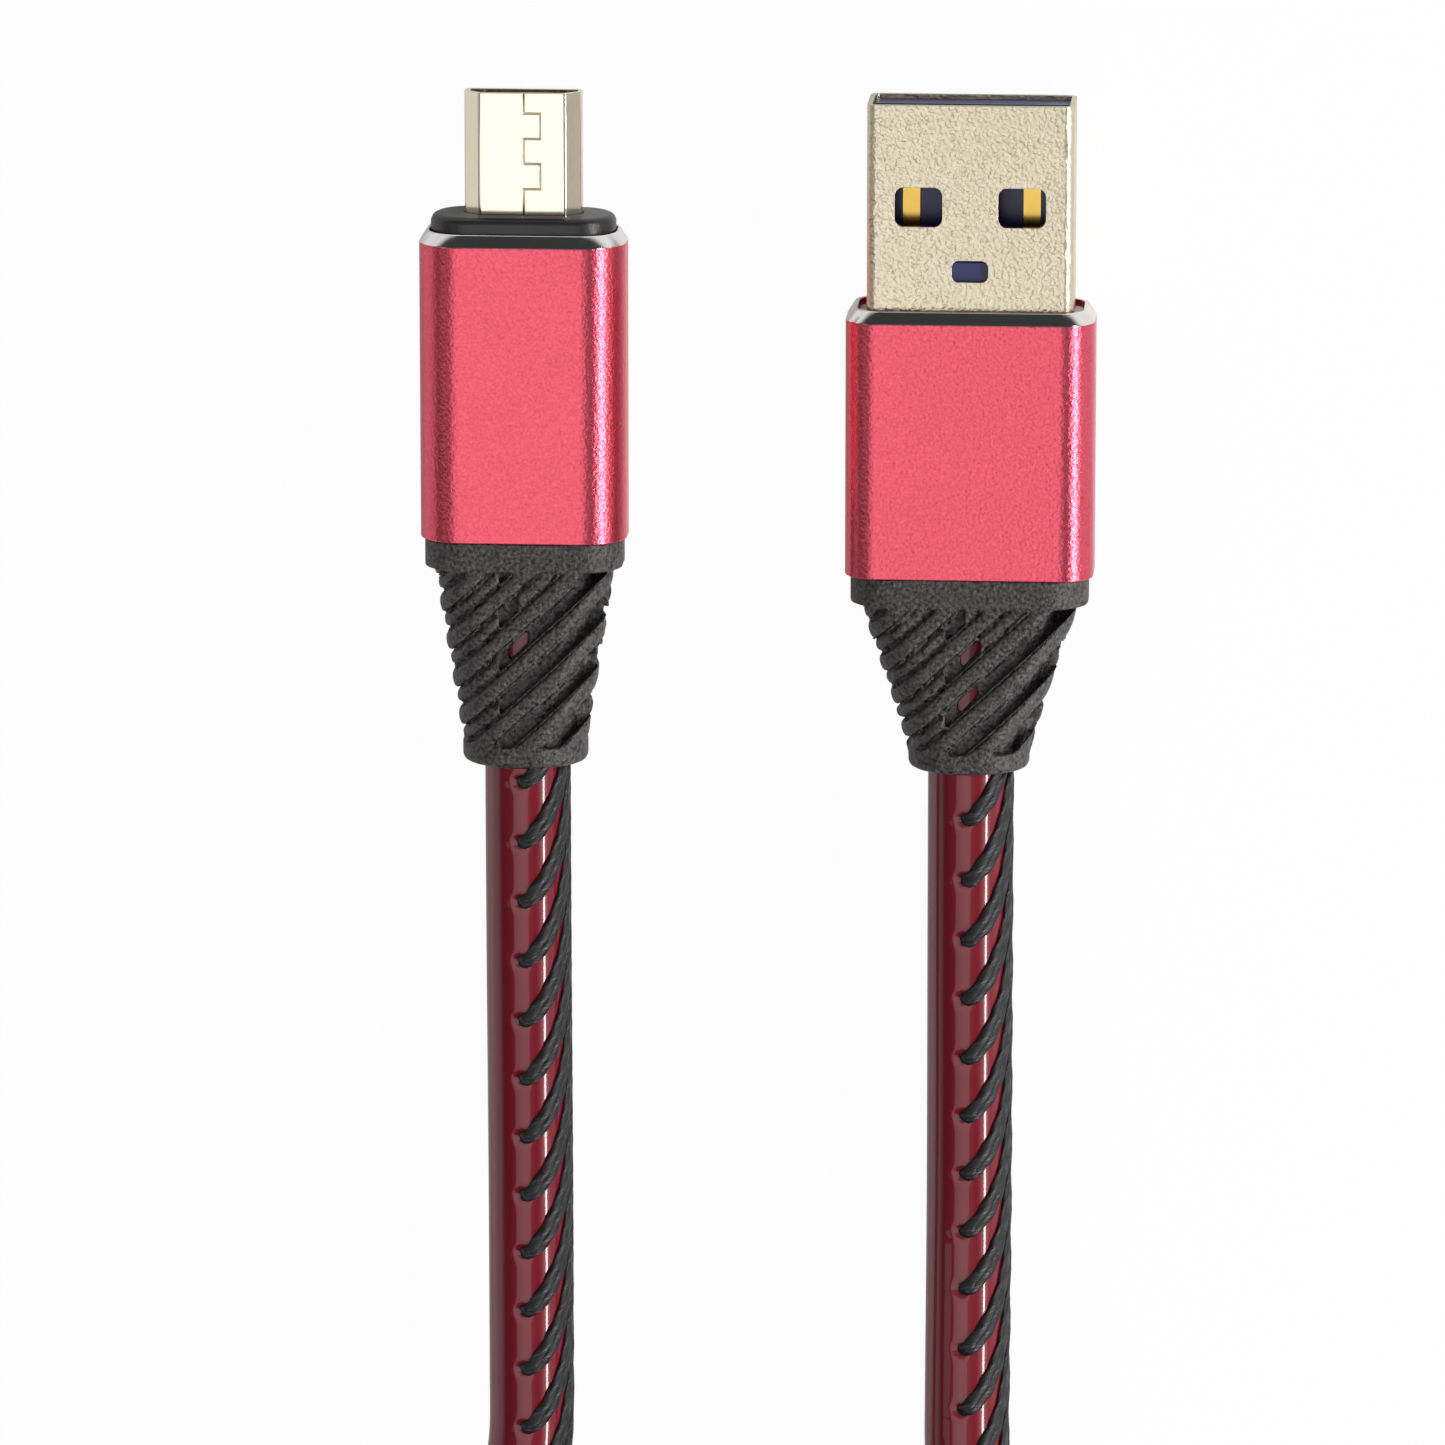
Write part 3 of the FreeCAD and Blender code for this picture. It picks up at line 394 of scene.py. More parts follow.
def coil_place(turn):
    """A control point of the coil: in along the lower layer, up, and out along the upper one."""
    radius = COIL_RADIUS - COIL_STEP * min(turn, COIL_TURNS - turn)
    reach = radius / math.cos(math.pi / COIL_POINTS)
    angle = COIL_START_ANGLE + 2 * math.pi * turn
    climb = min(max((turn - COIL_TURNS / 2 + 0.25) / 0.5, 0.0), 1.0)
    height = CORD_RADIUS + COIL_STEP * climb * climb * (3 - 2 * climb)
    past = max(turn - COIL_TURNS + COIL_LAST_SHARE, 0.0)
    height -= math.tan(COIL_END_SLOPE) * math.pi * radius * past * past / COIL_LAST_SHARE
    return (COIL_X + reach * math.cos(angle), COIL_Y + reach * math.sin(angle), height)


route = [Vector(p) * MM for p in device_lead + device_corner + device_entry]
route += [Vector(coil_place(k / COIL_POINTS)) for k in range(int(COIL_TURNS * COIL_POINTS) + 1)]
route.append(Vector(coil_place(COIL_TURNS)))
route += [Vector(p) * MM for p in host_entry + host_corner + host_lead]
line_data = bpy.data.curves.new("cord_line", "CURVE")
line_data.dimensions = "3D"
spline = line_data.splines.new("NURBS")
spline.points.add(len(route) - 1)
for point, place in zip(spline.points, route):
    point.co = (*place, 1.0)
spline.order_u = 3
spline.use_endpoint_u = True
line_data.resolution_u = 24
line_object = bpy.data.objects.new("cord_line", line_data)
bpy.context.scene.collection.objects.link(line_object)
line_mesh = bpy.data.meshes.new_from_object(line_object)
line = [vertex.co.copy() for vertex in line_mesh.vertices]
bpy.data.objects.remove(line_object)
travelled = [0.0]
for a, b in zip(line, line[1:]):
    travelled.append(travelled[-1] + (b - a).length)
CORD_LENGTH = travelled[-1]
print("points on the cord's route:", len(route), " free cord in m:", round(CORD_LENGTH, 4))

# %% Places and directions along the cord
LEAD_LENGTH = 56 * MM


def along(distance):
    """The point of the line at a distance from the device plug's strain relief."""
    distance = min(max(distance, 0.0), CORD_LENGTH)
    low, high = 0, len(travelled) - 1
    while high - low > 1:
        half = (low + high) // 2
        if travelled[half] <= distance:
            low = half
        else:
            high = half
    return line[low].lerp(line[high], (distance - travelled[low]) / (travelled[high] - travelled[low]))


def seam_frame(distance):
    """The line's point, the direction of the seam's edge and the one a quarter turn on from it.

    The cord twists by half a turn in the coil, so that its seam lies on the right of both plugs."""
    step = 0.5 * MM
    heading = (along(distance + step) - along(distance - step)).normalized()
    up = Vector((0, 0, 1))
    up = (up - heading * up.dot(heading)).normalized()
    left = up.cross(heading)
    share = min(max((distance - LEAD_LENGTH) / (CORD_LENGTH - 2 * LEAD_LENGTH), 0.0), 1.0)
    twist = math.pi * share * share * (3 - 2 * share)
    edge = left * math.cos(twist) + up * math.sin(twist)
    front = up * math.cos(twist) - left * math.sin(twist)
    return along(distance), edge, front, heading


# %% [markdown]
# ## The leather tube
# The leather is a red glossy sheet wrapped round the cable and sewn along one side. It is smooth,
# except that each stitch pulls a small dent where it goes in, with a raised lip beside it that
# catches the light. Rings are close together on the two leads, which the picture shows, and wider
# apart in the coil. A UV map in real proportions lets the finish follow the bends.

# %% Where the stitches go in
HOLE_ANGLE = math.radians(95)
FIRST_DEVICE_HOLE = 0.95 * MM
FIRST_HOST_HOLE = 2.8 * MM
SHORT_REACH = 12.65 * MM
STITCH_GUESS = 3.6 * MM
sewn_length = CORD_LENGTH - FIRST_HOST_HOLE - FIRST_DEVICE_HOLE + SHORT_REACH
STITCHES = round(sewn_length / STITCH_GUESS)
STITCH_PITCH = sewn_length / STITCHES
LONG_REACH = SHORT_REACH + STITCH_PITCH
print("stitches:", STITCHES, " pitch in mm:", round(1000 * STITCH_PITCH, 3))


DENT_REACH = 1.5 * MM
DENT_DEPTH = 0.20 * MM
DENT_SIZE = 0.34 * MM
LIP_AHEAD = 0.30 * MM
LIP_BESIDE = 0.42 * MM
LIP_HEIGHT = 0.06 * MM
LIP_SIZE = 0.20 * MM


def leather_radius(distance, angle):
    """The leather's radius, with a dent and a lip at each stitch hole."""
    change = 0.0
    for side, first in ((1, FIRST_DEVICE_HOLE), (-1, FIRST_DEVICE_HOLE - SHORT_REACH)):
        off = (distance - first + STITCH_PITCH / 2) % STITCH_PITCH - STITCH_PITCH / 2
        across = CORD_RADIUS * (side * angle - HOLE_ANGLE)
        away_from_hole = math.hypot(off, across)
        if away_from_hole < DENT_REACH:
            change -= DENT_DEPTH * math.exp(-((away_from_hole / DENT_SIZE) ** 2))
            lip = math.hypot(off - side * LIP_AHEAD, across - LIP_BESIDE)
            change += LIP_HEIGHT * math.exp(-((lip / LIP_SIZE) ** 2))
    return CORD_RADIUS + change


# %% Tube
RING_SIDES = 56
RING_STEP_ON_LEADS = 0.20 * MM
RING_STEP_IN_COIL = 1.1 * MM
UV_LENGTH = 10 * MM


def tube_mesh(name, rings, wrap_u, wrap_v):
    """A mesh of rings of points, closed at both ends, with a UV map of the given spans."""
    sides = len(rings[0])
    points = [point for ring in rings for point in ring]
    faces = []
    spots = []
    for row in range(len(rings) - 1):
        for side in range(sides):
            after = (side + 1) % sides
            near, far = row * sides, (row + 1) * sides
            faces.append((near + side, near + after, far + after, far + side))
            v0, v1 = side / sides * wrap_v, (side + 1) / sides * wrap_v
            u0, u1 = wrap_u[row], wrap_u[row + 1]
            spots += [(u0, v0), (u0, v1), (u1, v1), (u1, v0)]
    for row in (0, len(rings) - 1):
        cap = [row * sides + side for side in range(sides)]
        faces.append(tuple(reversed(cap)) if row == 0 else tuple(cap))
        spots += [(wrap_u[row], side / sides * wrap_v) for side in range(sides)]
    mesh = bpy.data.meshes.new(name)
    mesh.from_pydata(points, [], faces)
    layer = mesh.uv_layers.new(name="lengthwise")
    for loop, spot in zip(layer.data, spots):
        loop.uv = spot
    return mesh


def ring_places():
    """Distances of the rings: close on the leads, wider in the coil."""
    places = []
    distance = 0.0
    while distance < CORD_LENGTH:
        places.append(distance)
        near_plug = distance < LEAD_LENGTH or distance > CORD_LENGTH - LEAD_LENGTH
        distance += RING_STEP_ON_LEADS if near_plug else RING_STEP_IN_COIL
    return places + [CORD_LENGTH]


ring_at = ring_places()
rings = []
for distance in ring_at:
    centre, edge, front, heading = seam_frame(distance)
    ring = []
    for side in range(RING_SIDES):
        angle = 2 * math.pi * side / RING_SIDES
        signed = angle if angle <= math.pi else angle - 2 * math.pi
        radius = leather_radius(distance, signed)
        ring.append(centre + edge * (radius * math.cos(angle)) + front * (radius * math.sin(angle)))
    rings.append(ring)
lengths = [distance / UV_LENGTH for distance in ring_at]
cord_mesh = tube_mesh("leather_cord", rings, lengths, 2 * math.pi * CORD_RADIUS / UV_LENGTH)
leather_cord = bpy.data.objects.new("leather_cord", cord_mesh)
bpy.context.scene.collection.objects.link(leather_cord)


def make_sound(piece):
    """Turns a piece's faces outwards and shades it smooth."""
    bpy.ops.object.select_all(action="DESELECT")
    piece.select_set(True)
    bpy.context.view_layer.objects.active = piece
    bpy.ops.object.mode_set(mode="EDIT")
    bpy.ops.mesh.select_all(action="SELECT")
    bpy.ops.mesh.normals_make_consistent(inside=False)
    bpy.ops.object.mode_set(mode="OBJECT")
    bpy.ops.object.shade_smooth()


make_sound(leather_cord)
print("leather faces:", len(cord_mesh.polygons))

# %% [markdown]
# ## The whip stitching
# A doubled black thread goes in at a hole on the front, leans towards the plug, wraps over the seam
# and goes in again at the back. Its two strands leave the hole side by side; one climbs steeply and
# the other lies flatter, and where they turn over the edge they crowd into a rope. Each strand is a
# table of angle against distance, mirrored for the back, and every stitch repeats both.

# %% One strand's course over the seam
long_half = [(95, -0.05), (84, 0.25), (70, 0.95), (57, 1.75), (45, 2.65), (30, 3.9), (15, 5.9)]
short_half = [(95, 0.05), (84, -0.05), (70, 0.42), (57, 0.95), (45, 1.65), (30, 2.8), (15, 4.7)]


def whole_course(half, reach):
    """The strand's table from hole to hole: the near half, the middle and the near half mirrored."""
    near = [(math.radians(a), d * MM) for a, d in half]
    return near + [(0.0, reach / 2)] + [(-a, reach - d) for a, d in reversed(near)]


def smooth_table(table, count):
    """The same course through more points, on a smooth line through the table's own."""
    made = []
    last = len(table) - 1
    for k in range(count + 1):
        t = k / count * last
        i = min(int(t), last - 1)
        t -= i
        p0, p1, p2, p3 = table[max(i - 1, 0)], table[i], table[i + 1], table[min(i + 2, last)]
        weights = (
            -0.5 * t**3 + t**2 - 0.5 * t,
            1.5 * t**3 - 2.5 * t**2 + 1,
            -1.5 * t**3 + 2 * t**2 + 0.5 * t,
            0.5 * t**3 - 0.5 * t**2,
        )
        near = (p0, p1, p2, p3)
        made.append(tuple(sum(w * p[axis] for w, p in zip(weights, near)) for axis in (0, 1)))
    return made


# %% All strands, swept along their courses
THREAD_HALF_WIDTH = 0.34 * MM
THREAD_HALF_HEIGHT = 0.19 * MM
THREAD_TWIST = 1.5 * MM
PLY_RELIEF = 0.13
SINK_ANGLE = math.radians(9)
SINK_DEPTH = 0.34 * MM
PAST_THE_END = 0.5 * MM
LONG_LIFT = 0.07 * MM
SHORT_LIFT = 0.03 * MM
strand_points = []
strand_faces = []
strand_spots = []


def sweep_strand(hole, course, lift, sides):
    """Adds one strand: rings across its course, flattened on the leather and ribbed by its two plies."""
    places = []
    for angle, back in course:
        distance = hole - back
        if distance < -PAST_THE_END or distance > CORD_LENGTH + PAST_THE_END:
            continue
        centre, edge, front, heading = seam_frame(distance)
        if distance < 0 or distance > CORD_LENGTH:
            centre = centre + heading * (distance - min(max(distance, 0.0), CORD_LENGTH))
        out = edge * math.cos(angle) + front * math.sin(angle)
        sunk = max(0.0, (abs(angle) - HOLE_ANGLE + SINK_ANGLE) / SINK_ANGLE)
        places.append((centre + out * (CORD_RADIUS + lift - SINK_DEPTH * sunk * sunk), out))
    if len(places) < 2:
        return
    first = len(strand_points)
    run = 0.0
    rows = []
    for k, (place, out) in enumerate(places):
        before = places[max(k - 1, 0)][0]
        after = places[min(k + 1, len(places) - 1)][0]
        if k:
            run += (place - before).length
        heading = (after - before).normalized()
        across = out.cross(heading).normalized()
        raised = heading.cross(across).normalized()
        rows.append(run)
        for side in range(sides):
            angle = 2 * math.pi * side / sides
            ply = 1 + PLY_RELIEF * math.cos(2 * angle - 2 * math.pi * run / THREAD_TWIST)
            strand_points.append(
                place
                + across * (THREAD_HALF_WIDTH * ply * math.cos(angle))
                + raised * (THREAD_HALF_HEIGHT * ply * math.sin(angle))
            )
    for k in range(len(places) - 1):
        for side in range(sides):
            after = (side + 1) % sides
            low, high = first + k * sides, first + (k + 1) * sides
            strand_faces.append((low + side, low + after, high + after, high + side))
            u0, u1 = rows[k] / MM, rows[k + 1] / MM
            v0, v1 = side / sides, (side + 1) / sides
            strand_spots.extend([(u0, v0), (u0, v1), (u1, v1), (u1, v0)])
    for row, turned in ((0, True), (len(places) - 1, False)):
        cap = [first + row * sides + side for side in range(sides)]
        strand_faces.append(tuple(reversed(cap)) if turned else tuple(cap))
        strand_spots.extend([(rows[row] / MM, side / sides) for side in range(sides)])


fine = {"count": 34, "sides": 10}
coarse = {"count": 11, "sides": 4}
stitch_holes = [FIRST_DEVICE_HOLE + k * STITCH_PITCH for k in range(STITCHES + 5)]
for hole in stitch_holes:
    seen = hole < LEAD_LENGTH + LONG_REACH or hole > CORD_LENGTH - LEAD_LENGTH
    detail = fine if seen else coarse
    for half, reach, lift in ((long_half, LONG_REACH, LONG_LIFT), (short_half, SHORT_REACH, SHORT_LIFT)):
        course = smooth_table(whole_course(half, reach), detail["count"])
        sweep_strand(hole, course, lift, detail["sides"])
stitch_mesh = bpy.data.meshes.new("whip_stitching")
stitch_mesh.from_pydata(strand_points, [], strand_faces)
layer = stitch_mesh.uv_layers.new(name="lengthwise")
for loop, spot in zip(layer.data, strand_spots):
    loop.uv = spot
whip_stitching = bpy.data.objects.new("whip_stitching", stitch_mesh)
bpy.context.scene.collection.objects.link(whip_stitching)
make_sound(whip_stitching)
print("thread faces:", len(stitch_mesh.polygons))

# %% [markdown]
# ## Leather and thread
# The leather is coated, so a dark red base lies under a hard clear coat that gives the thin white
# line of the strip light. A slow noise darkens it in patches, and a faint fine grain keeps the coat
# from being a mirror. The thread is two twisted plies. Painted shade runs round it in dark slantwise
# bands, in the dips between the plies and the fine fibres, set by its own UV map.

# %% Leather
leather, tree = new_material("red_leather")
shader = node(tree, "ShaderNodeBsdfPrincipled", (300, 0))
shader.inputs["Coat Weight"].default_value = 0.5
shader.inputs["Coat IOR"].default_value = 1.6
shader.inputs["Coat Roughness"].default_value = 0.04
shader.inputs["Specular IOR Level"].default_value = 0.25
out = node(tree, "ShaderNodeOutputMaterial", (600, 0))
place = node(tree, "ShaderNodeTexCoord", (-900, 200))
clouds = node(tree, "ShaderNodeTexNoise", (-650, 300), Scale=3.0, Detail=4.0)
tint = node(tree, "ShaderNodeMix", (-350, 300))
tint.data_type = "RGBA"
tint.inputs[6].default_value = (0.15, 0.002, 0.010, 1)
tint.inputs[7].default_value = (0.20, 0.003, 0.014, 1)
marks = use_group(tree, handling, (-350, 0), Low=0.26, High=0.36)
pores = node(tree, "ShaderNodeTexNoise", (-650, -200), Scale=60.0, Detail=3.0)
bump = node(tree, "ShaderNodeBump", (0, -200), Strength=0.6, Distance=0.006 * MM)
tree.links.new(place.outputs["UV"], clouds.inputs["Vector"])
tree.links.new(place.outputs["UV"], pores.inputs["Vector"])
tree.links.new(clouds.outputs["Fac"], tint.inputs[0])
tree.links.new(tint.outputs[2], shader.inputs["Base Color"])
tree.links.new(marks.outputs["Gloss"], shader.inputs["Roughness"])
tree.links.new(pores.outputs["Fac"], bump.inputs["Height"])
tree.links.new(bump.outputs["Normal"], shader.inputs["Normal"])
tree.links.new(shader.outputs[0], out.inputs["Surface"])
leather_cord.data.materials.append(leather)

# %% Thread
thread, tree = new_material("black_thread")
shader = node(tree, "ShaderNodeBsdfPrincipled", (500, 0))
shader.inputs["Specular IOR Level"].default_value = 0.45
out = node(tree, "ShaderNodeOutputMaterial", (800, 0))
place = node(tree, "ShaderNodeTexCoord", (-1100, 0))
parts = node(tree, "ShaderNodeSeparateXYZ", (-900, 0))
tree.links.new(place.outputs["UV"], parts.inputs[0])


def slanted_wave(turns_round, per_mm, height):
    """Bands that wind round the thread, from its UV map."""
    round_it = node(tree, "ShaderNodeMath", (-700, height))
    round_it.operation = "MULTIPLY"
    round_it.inputs[1].default_value = 2 * math.pi * turns_round
    length = node(tree, "ShaderNodeMath", (-700, height - 180))
    length.operation = "MULTIPLY"
    length.inputs[1].default_value = 2 * math.pi * per_mm
    gap = node(tree, "ShaderNodeMath", (-500, height))
    gap.operation = "SUBTRACT"
    wave = node(tree, "ShaderNodeMath", (-300, height))
    wave.operation = "SINE"
    tree.links.new(parts.outputs["Y"], round_it.inputs[0])
    tree.links.new(parts.outputs["X"], length.inputs[0])
    tree.links.new(round_it.outputs[0], gap.inputs[0])
    tree.links.new(length.outputs[0], gap.inputs[1])
    tree.links.new(gap.outputs[0], wave.inputs[0])
    return wave


plies = slanted_wave(2, 1 / (THREAD_TWIST / MM), 400)
fibres = slanted_wave(14, 3.0, -100)
mixed = node(tree, "ShaderNodeMath", (-100, 100))
mixed.operation = "MULTIPLY_ADD"
mixed.inputs[1].default_value = 0.25
tree.links.new(fibres.outputs[0], mixed.inputs[0])
tree.links.new(plies.outputs[0], mixed.inputs[2])
# Painted shade: the dips between the plies and fibres get the darkest colour, and the crests the lightest.
shades = node(tree, "ShaderNodeValToRGB", (100, 300))
shades.color_ramp.elements[0].position = 0.1
shades.color_ramp.elements[0].color = (0.002, 0.002, 0.003, 1)
shades.color_ramp.elements[1].position = 0.9
shades.color_ramp.elements[1].color = (0.014, 0.015, 0.019, 1)
rough = node(tree, "ShaderNodeMapRange", (100, 0))
rough.inputs["From Min"].default_value = -1.0
rough.inputs["To Min"].default_value = 0.55
rough.inputs["To Max"].default_value = 0.35
bump = node(tree, "ShaderNodeBump", (300, -200), Strength=0.8, Distance=0.03 * MM)
tree.links.new(mixed.outputs[0], shades.inputs[0])
tree.links.new(mixed.outputs[0], rough.inputs["Value"])
tree.links.new(mixed.outputs[0], bump.inputs["Height"])
tree.links.new(shades.outputs[0], shader.inputs["Base Color"])
tree.links.new(rough.outputs["Result"], shader.inputs["Roughness"])
tree.links.new(bump.outputs["Normal"], shader.inputs["Normal"])
tree.links.new(shader.outputs[0], out.inputs["Surface"])
whip_stitching.data.materials.append(thread)

for piece in (leather_cord, whip_stitching):
    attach(piece, "root")
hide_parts("cord_lead_device", "cord_coil", "cord_lead_host")

# %% [markdown]
# ## The aluminium sleeves
# Each sleeve is turned from a rounded bar: blasted, dyed red, and then cut once more round its front
# edge, so that the bare metal shows as a bright chamfer. A cube gets its four long edges bevelled, its
# front face is inset twice, once sloping for the chamfer and once flat for the lip, and the middle is
# pushed back to make the bore. A small bevel softens what edges are left.

# %% Picking faces and edges


def start_editing(piece, mode):
    """Opens one piece in edit mode with nothing selected, to pick faces or edges."""
    bpy.ops.object.select_all(action="DESELECT")
    piece.select_set(True)
    bpy.context.view_layer.objects.active = piece
    bpy.ops.object.mode_set(mode="EDIT")
    bpy.ops.mesh.select_mode(type=mode)
    bpy.ops.mesh.select_all(action="DESELECT")


def pick_faces(piece, test):
    """Selects the faces whose middle and direction pass the test."""
    mesh = bmesh.from_edit_mesh(piece.data)
    for face in mesh.faces:
        face.select_set(bool(test(face.calc_center_median(), face.normal)))
    bmesh.update_edit_mesh(piece.data)


def pick_edges(piece, test):
    """Selects the edges whose two ends pass the test."""
    mesh = bmesh.from_edit_mesh(piece.data)
    for edge in mesh.edges:
        edge.select_set(bool(test(edge.verts[0].co, edge.verts[1].co)))
    bmesh.update_edit_mesh(piece.data)


BEVEL_SEGMENTS = 2
SHARP_ANGLE = math.radians(30)
SMOOTH_ANGLE = math.radians(60)


def soften(piece, width):
    """Bevels a piece's sharp edges a little, and shades what is left smooth."""
    edge = piece.modifiers.new("soft_edges", "BEVEL")
    edge.width = width
    edge.segments = BEVEL_SEGMENTS
    edge.limit_method = "ANGLE"
    edge.angle_limit = SHARP_ANGLE
    bpy.ops.object.select_all(action="DESELECT")
    piece.select_set(True)
    bpy.context.view_layer.objects.active = piece
    bpy.ops.object.modifier_apply(modifier=edge.name)
    bpy.ops.object.shade_smooth_by_angle(angle=SMOOTH_ANGLE)
    flats = piece.modifiers.new("flat_faces_stay_flat", "WEIGHTED_NORMAL")
    flats.keep_sharp = True
    bpy.ops.object.modifier_apply(modifier=flats.name)


# %% Sleeve
SLEEVE_HEIGHT = 6.4 * MM
CHAMFER_IN = 0.45 * MM
CHAMFER_BACK = 0.7 * MM
CORNER_SEGMENTS = 12
SLEEVE_EDGE = 0.07 * MM


def sleeve(name, x, y_back, y_front, width, wall, corner):
    """A rounded sleeve with a bore and a bright chamfer at its front."""
    shoulder = y_front - CHAMFER_BACK
    middle = (x, (y_back + shoulder) / 2, MID_Z)
    bpy.ops.object.select_all(action="DESELECT")
    bpy.ops.mesh.primitive_cube_add(size=1, location=middle, scale=(width, shoulder - y_back, SLEEVE_HEIGHT))
    piece = bpy.context.active_object
    piece.name = name
    bpy.ops.object.transform_apply(location=True, rotation=True, scale=True)
    start_editing(piece, "EDGE")
    pick_edges(piece, lambda a, b: abs(a.y - b.y) > 1 * MM)
    bpy.ops.mesh.bevel(offset=corner, segments=CORNER_SEGMENTS, affect="EDGES")
    bpy.ops.mesh.select_mode(type="FACE")
    pick_faces(piece, lambda middle, normal: normal.y > 0.9)
    bpy.ops.mesh.inset(thickness=CHAMFER_IN, depth=CHAMFER_BACK)
    bpy.ops.mesh.inset(thickness=wall - CHAMFER_IN, depth=0)
    bpy.ops.mesh.extrude_region_move(TRANSFORM_OT_translate={"value": (0, y_back - y_front, 0)})
    bpy.ops.mesh.delete(type="FACE")
    pick_faces(piece, lambda middle, normal: normal.y < -0.9)
    bpy.ops.mesh.inset(thickness=wall, depth=0)
    bpy.ops.mesh.delete(type="FACE")
    bpy.ops.mesh.select_all(action="SELECT")
    bpy.ops.mesh.remove_doubles(threshold=0.01 * MM)
    bpy.ops.mesh.normals_make_consistent(inside=False)
    bpy.ops.object.mode_set(mode="OBJECT")
    piece.data.materials.append(red_aluminium)
    piece.data.materials.append(cut_aluminium)
    for face in piece.data.polygons:
        face.material_index = 1 if face.normal.y > 0.3 else 0
    soften(piece, SLEEVE_EDGE)
    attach(piece, "root")
    print(name, "faces:", len(piece.data.polygons))
    return piece


low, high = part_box("host_sleeve")
wide_sleeve_back = low.y
wide_sleeve = sleeve("wide_sleeve", HOST_X, low.y, high.y, high.x - low.x, 0.7 * MM, 2.0 * MM)
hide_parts("host_sleeve")
low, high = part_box("device_sleeve")
small_sleeve_back = low.y
small_sleeve = sleeve("small_sleeve", DEVICE_X, low.y, high.y, high.x - low.x, 0.6 * MM, 2.6 * MM)
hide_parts("device_sleeve")

# %% [markdown]
# ## The strain reliefs
# Each boot is one moulding of soft black rubber, whose slanted ribs let the cord bend without
# breaking. The design already cuts every groove, but with flat chords for its round corners. A copy of
# its solid is joined to a thin web, remeshed into small even squares, pushed out from those chords to
# true arcs and relaxed. Then its skin sinks a little along the grooves, which rounds the ribs, draws a
# slit at each land and notches the right side.

# %% A clean copy of a solid


def solid_copy(node_name, name):
    """A merged copy of a CAD solid as a new piece, with none of the original's notes."""
    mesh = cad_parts[node_name].data.copy()
    mesh.materials.clear()
    piece = bpy.data.objects.new(name, mesh)
    bpy.context.scene.collection.objects.link(piece)
    start_editing(piece, "VERT")
    bpy.ops.mesh.customdata_custom_splitnormals_clear()
    bpy.ops.mesh.select_all(action="SELECT")
    bpy.ops.mesh.remove_doubles(threshold=0.002 * MM)
    bpy.ops.object.mode_set(mode="OBJECT")
    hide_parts(node_name)
    return piece


# %% Boot
BOOT_HEIGHT = 6.2 * MM
COLLAR_LENGTH = 1.7 * MM
COLLAR_CORNER = 2.4 * MM
COLLAR_STEP = 0.5 * MM
RING_LENGTH = 1.2 * MM
RING_CORNER = 2.95 * MM
CORNER_CHORDS = 4
BOOT_GRID = 0.085 * MM
RELAX_STEPS = 5
BOOT_TRIANGLES = 180000
WEB_SIDE = 0.22 * MM
WEB_HEIGHT = 0.4 * MM
GROOVE_PITCH = 2.6 * MM
GROOVE_HALF = 0.4 * MM
GROOVE_SLOPE = math.radians(43)
LAND_LEFT_END = -1.3 * MM
SLIT_DEPTH = 0.30 * MM
SLIT_HALF = 0.11 * MM
RIB_ROUND = 0.16 * MM
NOTCH_DEPTH = 0.50 * MM
NOTCH_STARTS = 0.62
NOTCH_GROWS = 0.2
SLOPE_TURNS_AT = -0.8 * MM
CARVE_FADE = 0.25 * MM
BORE_MARGIN = 0.35 * MM
CORNER_DEPTH = 0.6


def carving(across, above, y, half_width, first_groove):
    """How far a point of a boot's skin sinks: a slit on each side of a land, a rounded rib between."""
    slope = math.tan(GROOVE_SLOPE) * (1 if above > SLOPE_TURNS_AT else -1)
    at_edge = y + (half_width - across) * slope - first_groove
    off = (at_edge + GROOVE_PITCH / 2) % GROOVE_PITCH - GROOVE_PITCH / 2
    away_from_line = abs(off) * math.cos(GROOVE_SLOPE)
    rib_half = (GROOVE_PITCH * math.cos(GROOVE_SLOPE) - 2 * GROOVE_HALF) / 2
    slit = SLIT_DEPTH * math.exp(-(((away_from_line - GROOVE_HALF) / SLIT_HALF) ** 2))
    if away_from_line > GROOVE_HALF:
        from_crest = (rib_half - (away_from_line - GROOVE_HALF)) / rib_half
        return slit + RIB_ROUND * from_crest * from_crest
    on_right_side = min(max((across - NOTCH_STARTS * half_width) / (NOTCH_GROWS * half_width), 0.0), 1.0)
    notch = NOTCH_DEPTH * on_right_side * (1 - (away_from_line / GROOVE_HALF) ** 2)
    land = RIB_ROUND * (away_from_line / GROOVE_HALF) ** 2 if across < LAND_LEFT_END else 0
    return slit + notch + land


def carve(piece, x, low, high, collar_back, first_groove):
    """Sinks the skin of a boot between its collar and its ring along the grooves."""
    half_width = (high.x - low.x) / 2
    ring_front = BOOT_END_Y + RING_LENGTH
    piece.data.update()
    inward = [(vertex.index, vertex.normal.copy()) for vertex in piece.data.vertices]
    for index, normal in inward:
        place = piece.data.vertices[index].co
        if not ring_front < place.y < collar_back:
            continue
        across, above = place.x - x, place.z - MID_Z
        if normal.x * across + normal.z * above < 0.5 * math.hypot(across, above):
            continue
        if math.hypot(across, above) < CORD_RADIUS + BORE_MARGIN:
            continue
        fade = min(place.y - ring_front, collar_back - place.y, CARVE_FADE) / CARVE_FADE
        place -= normal * (fade * carving(across, above, place.y, half_width, first_groove))


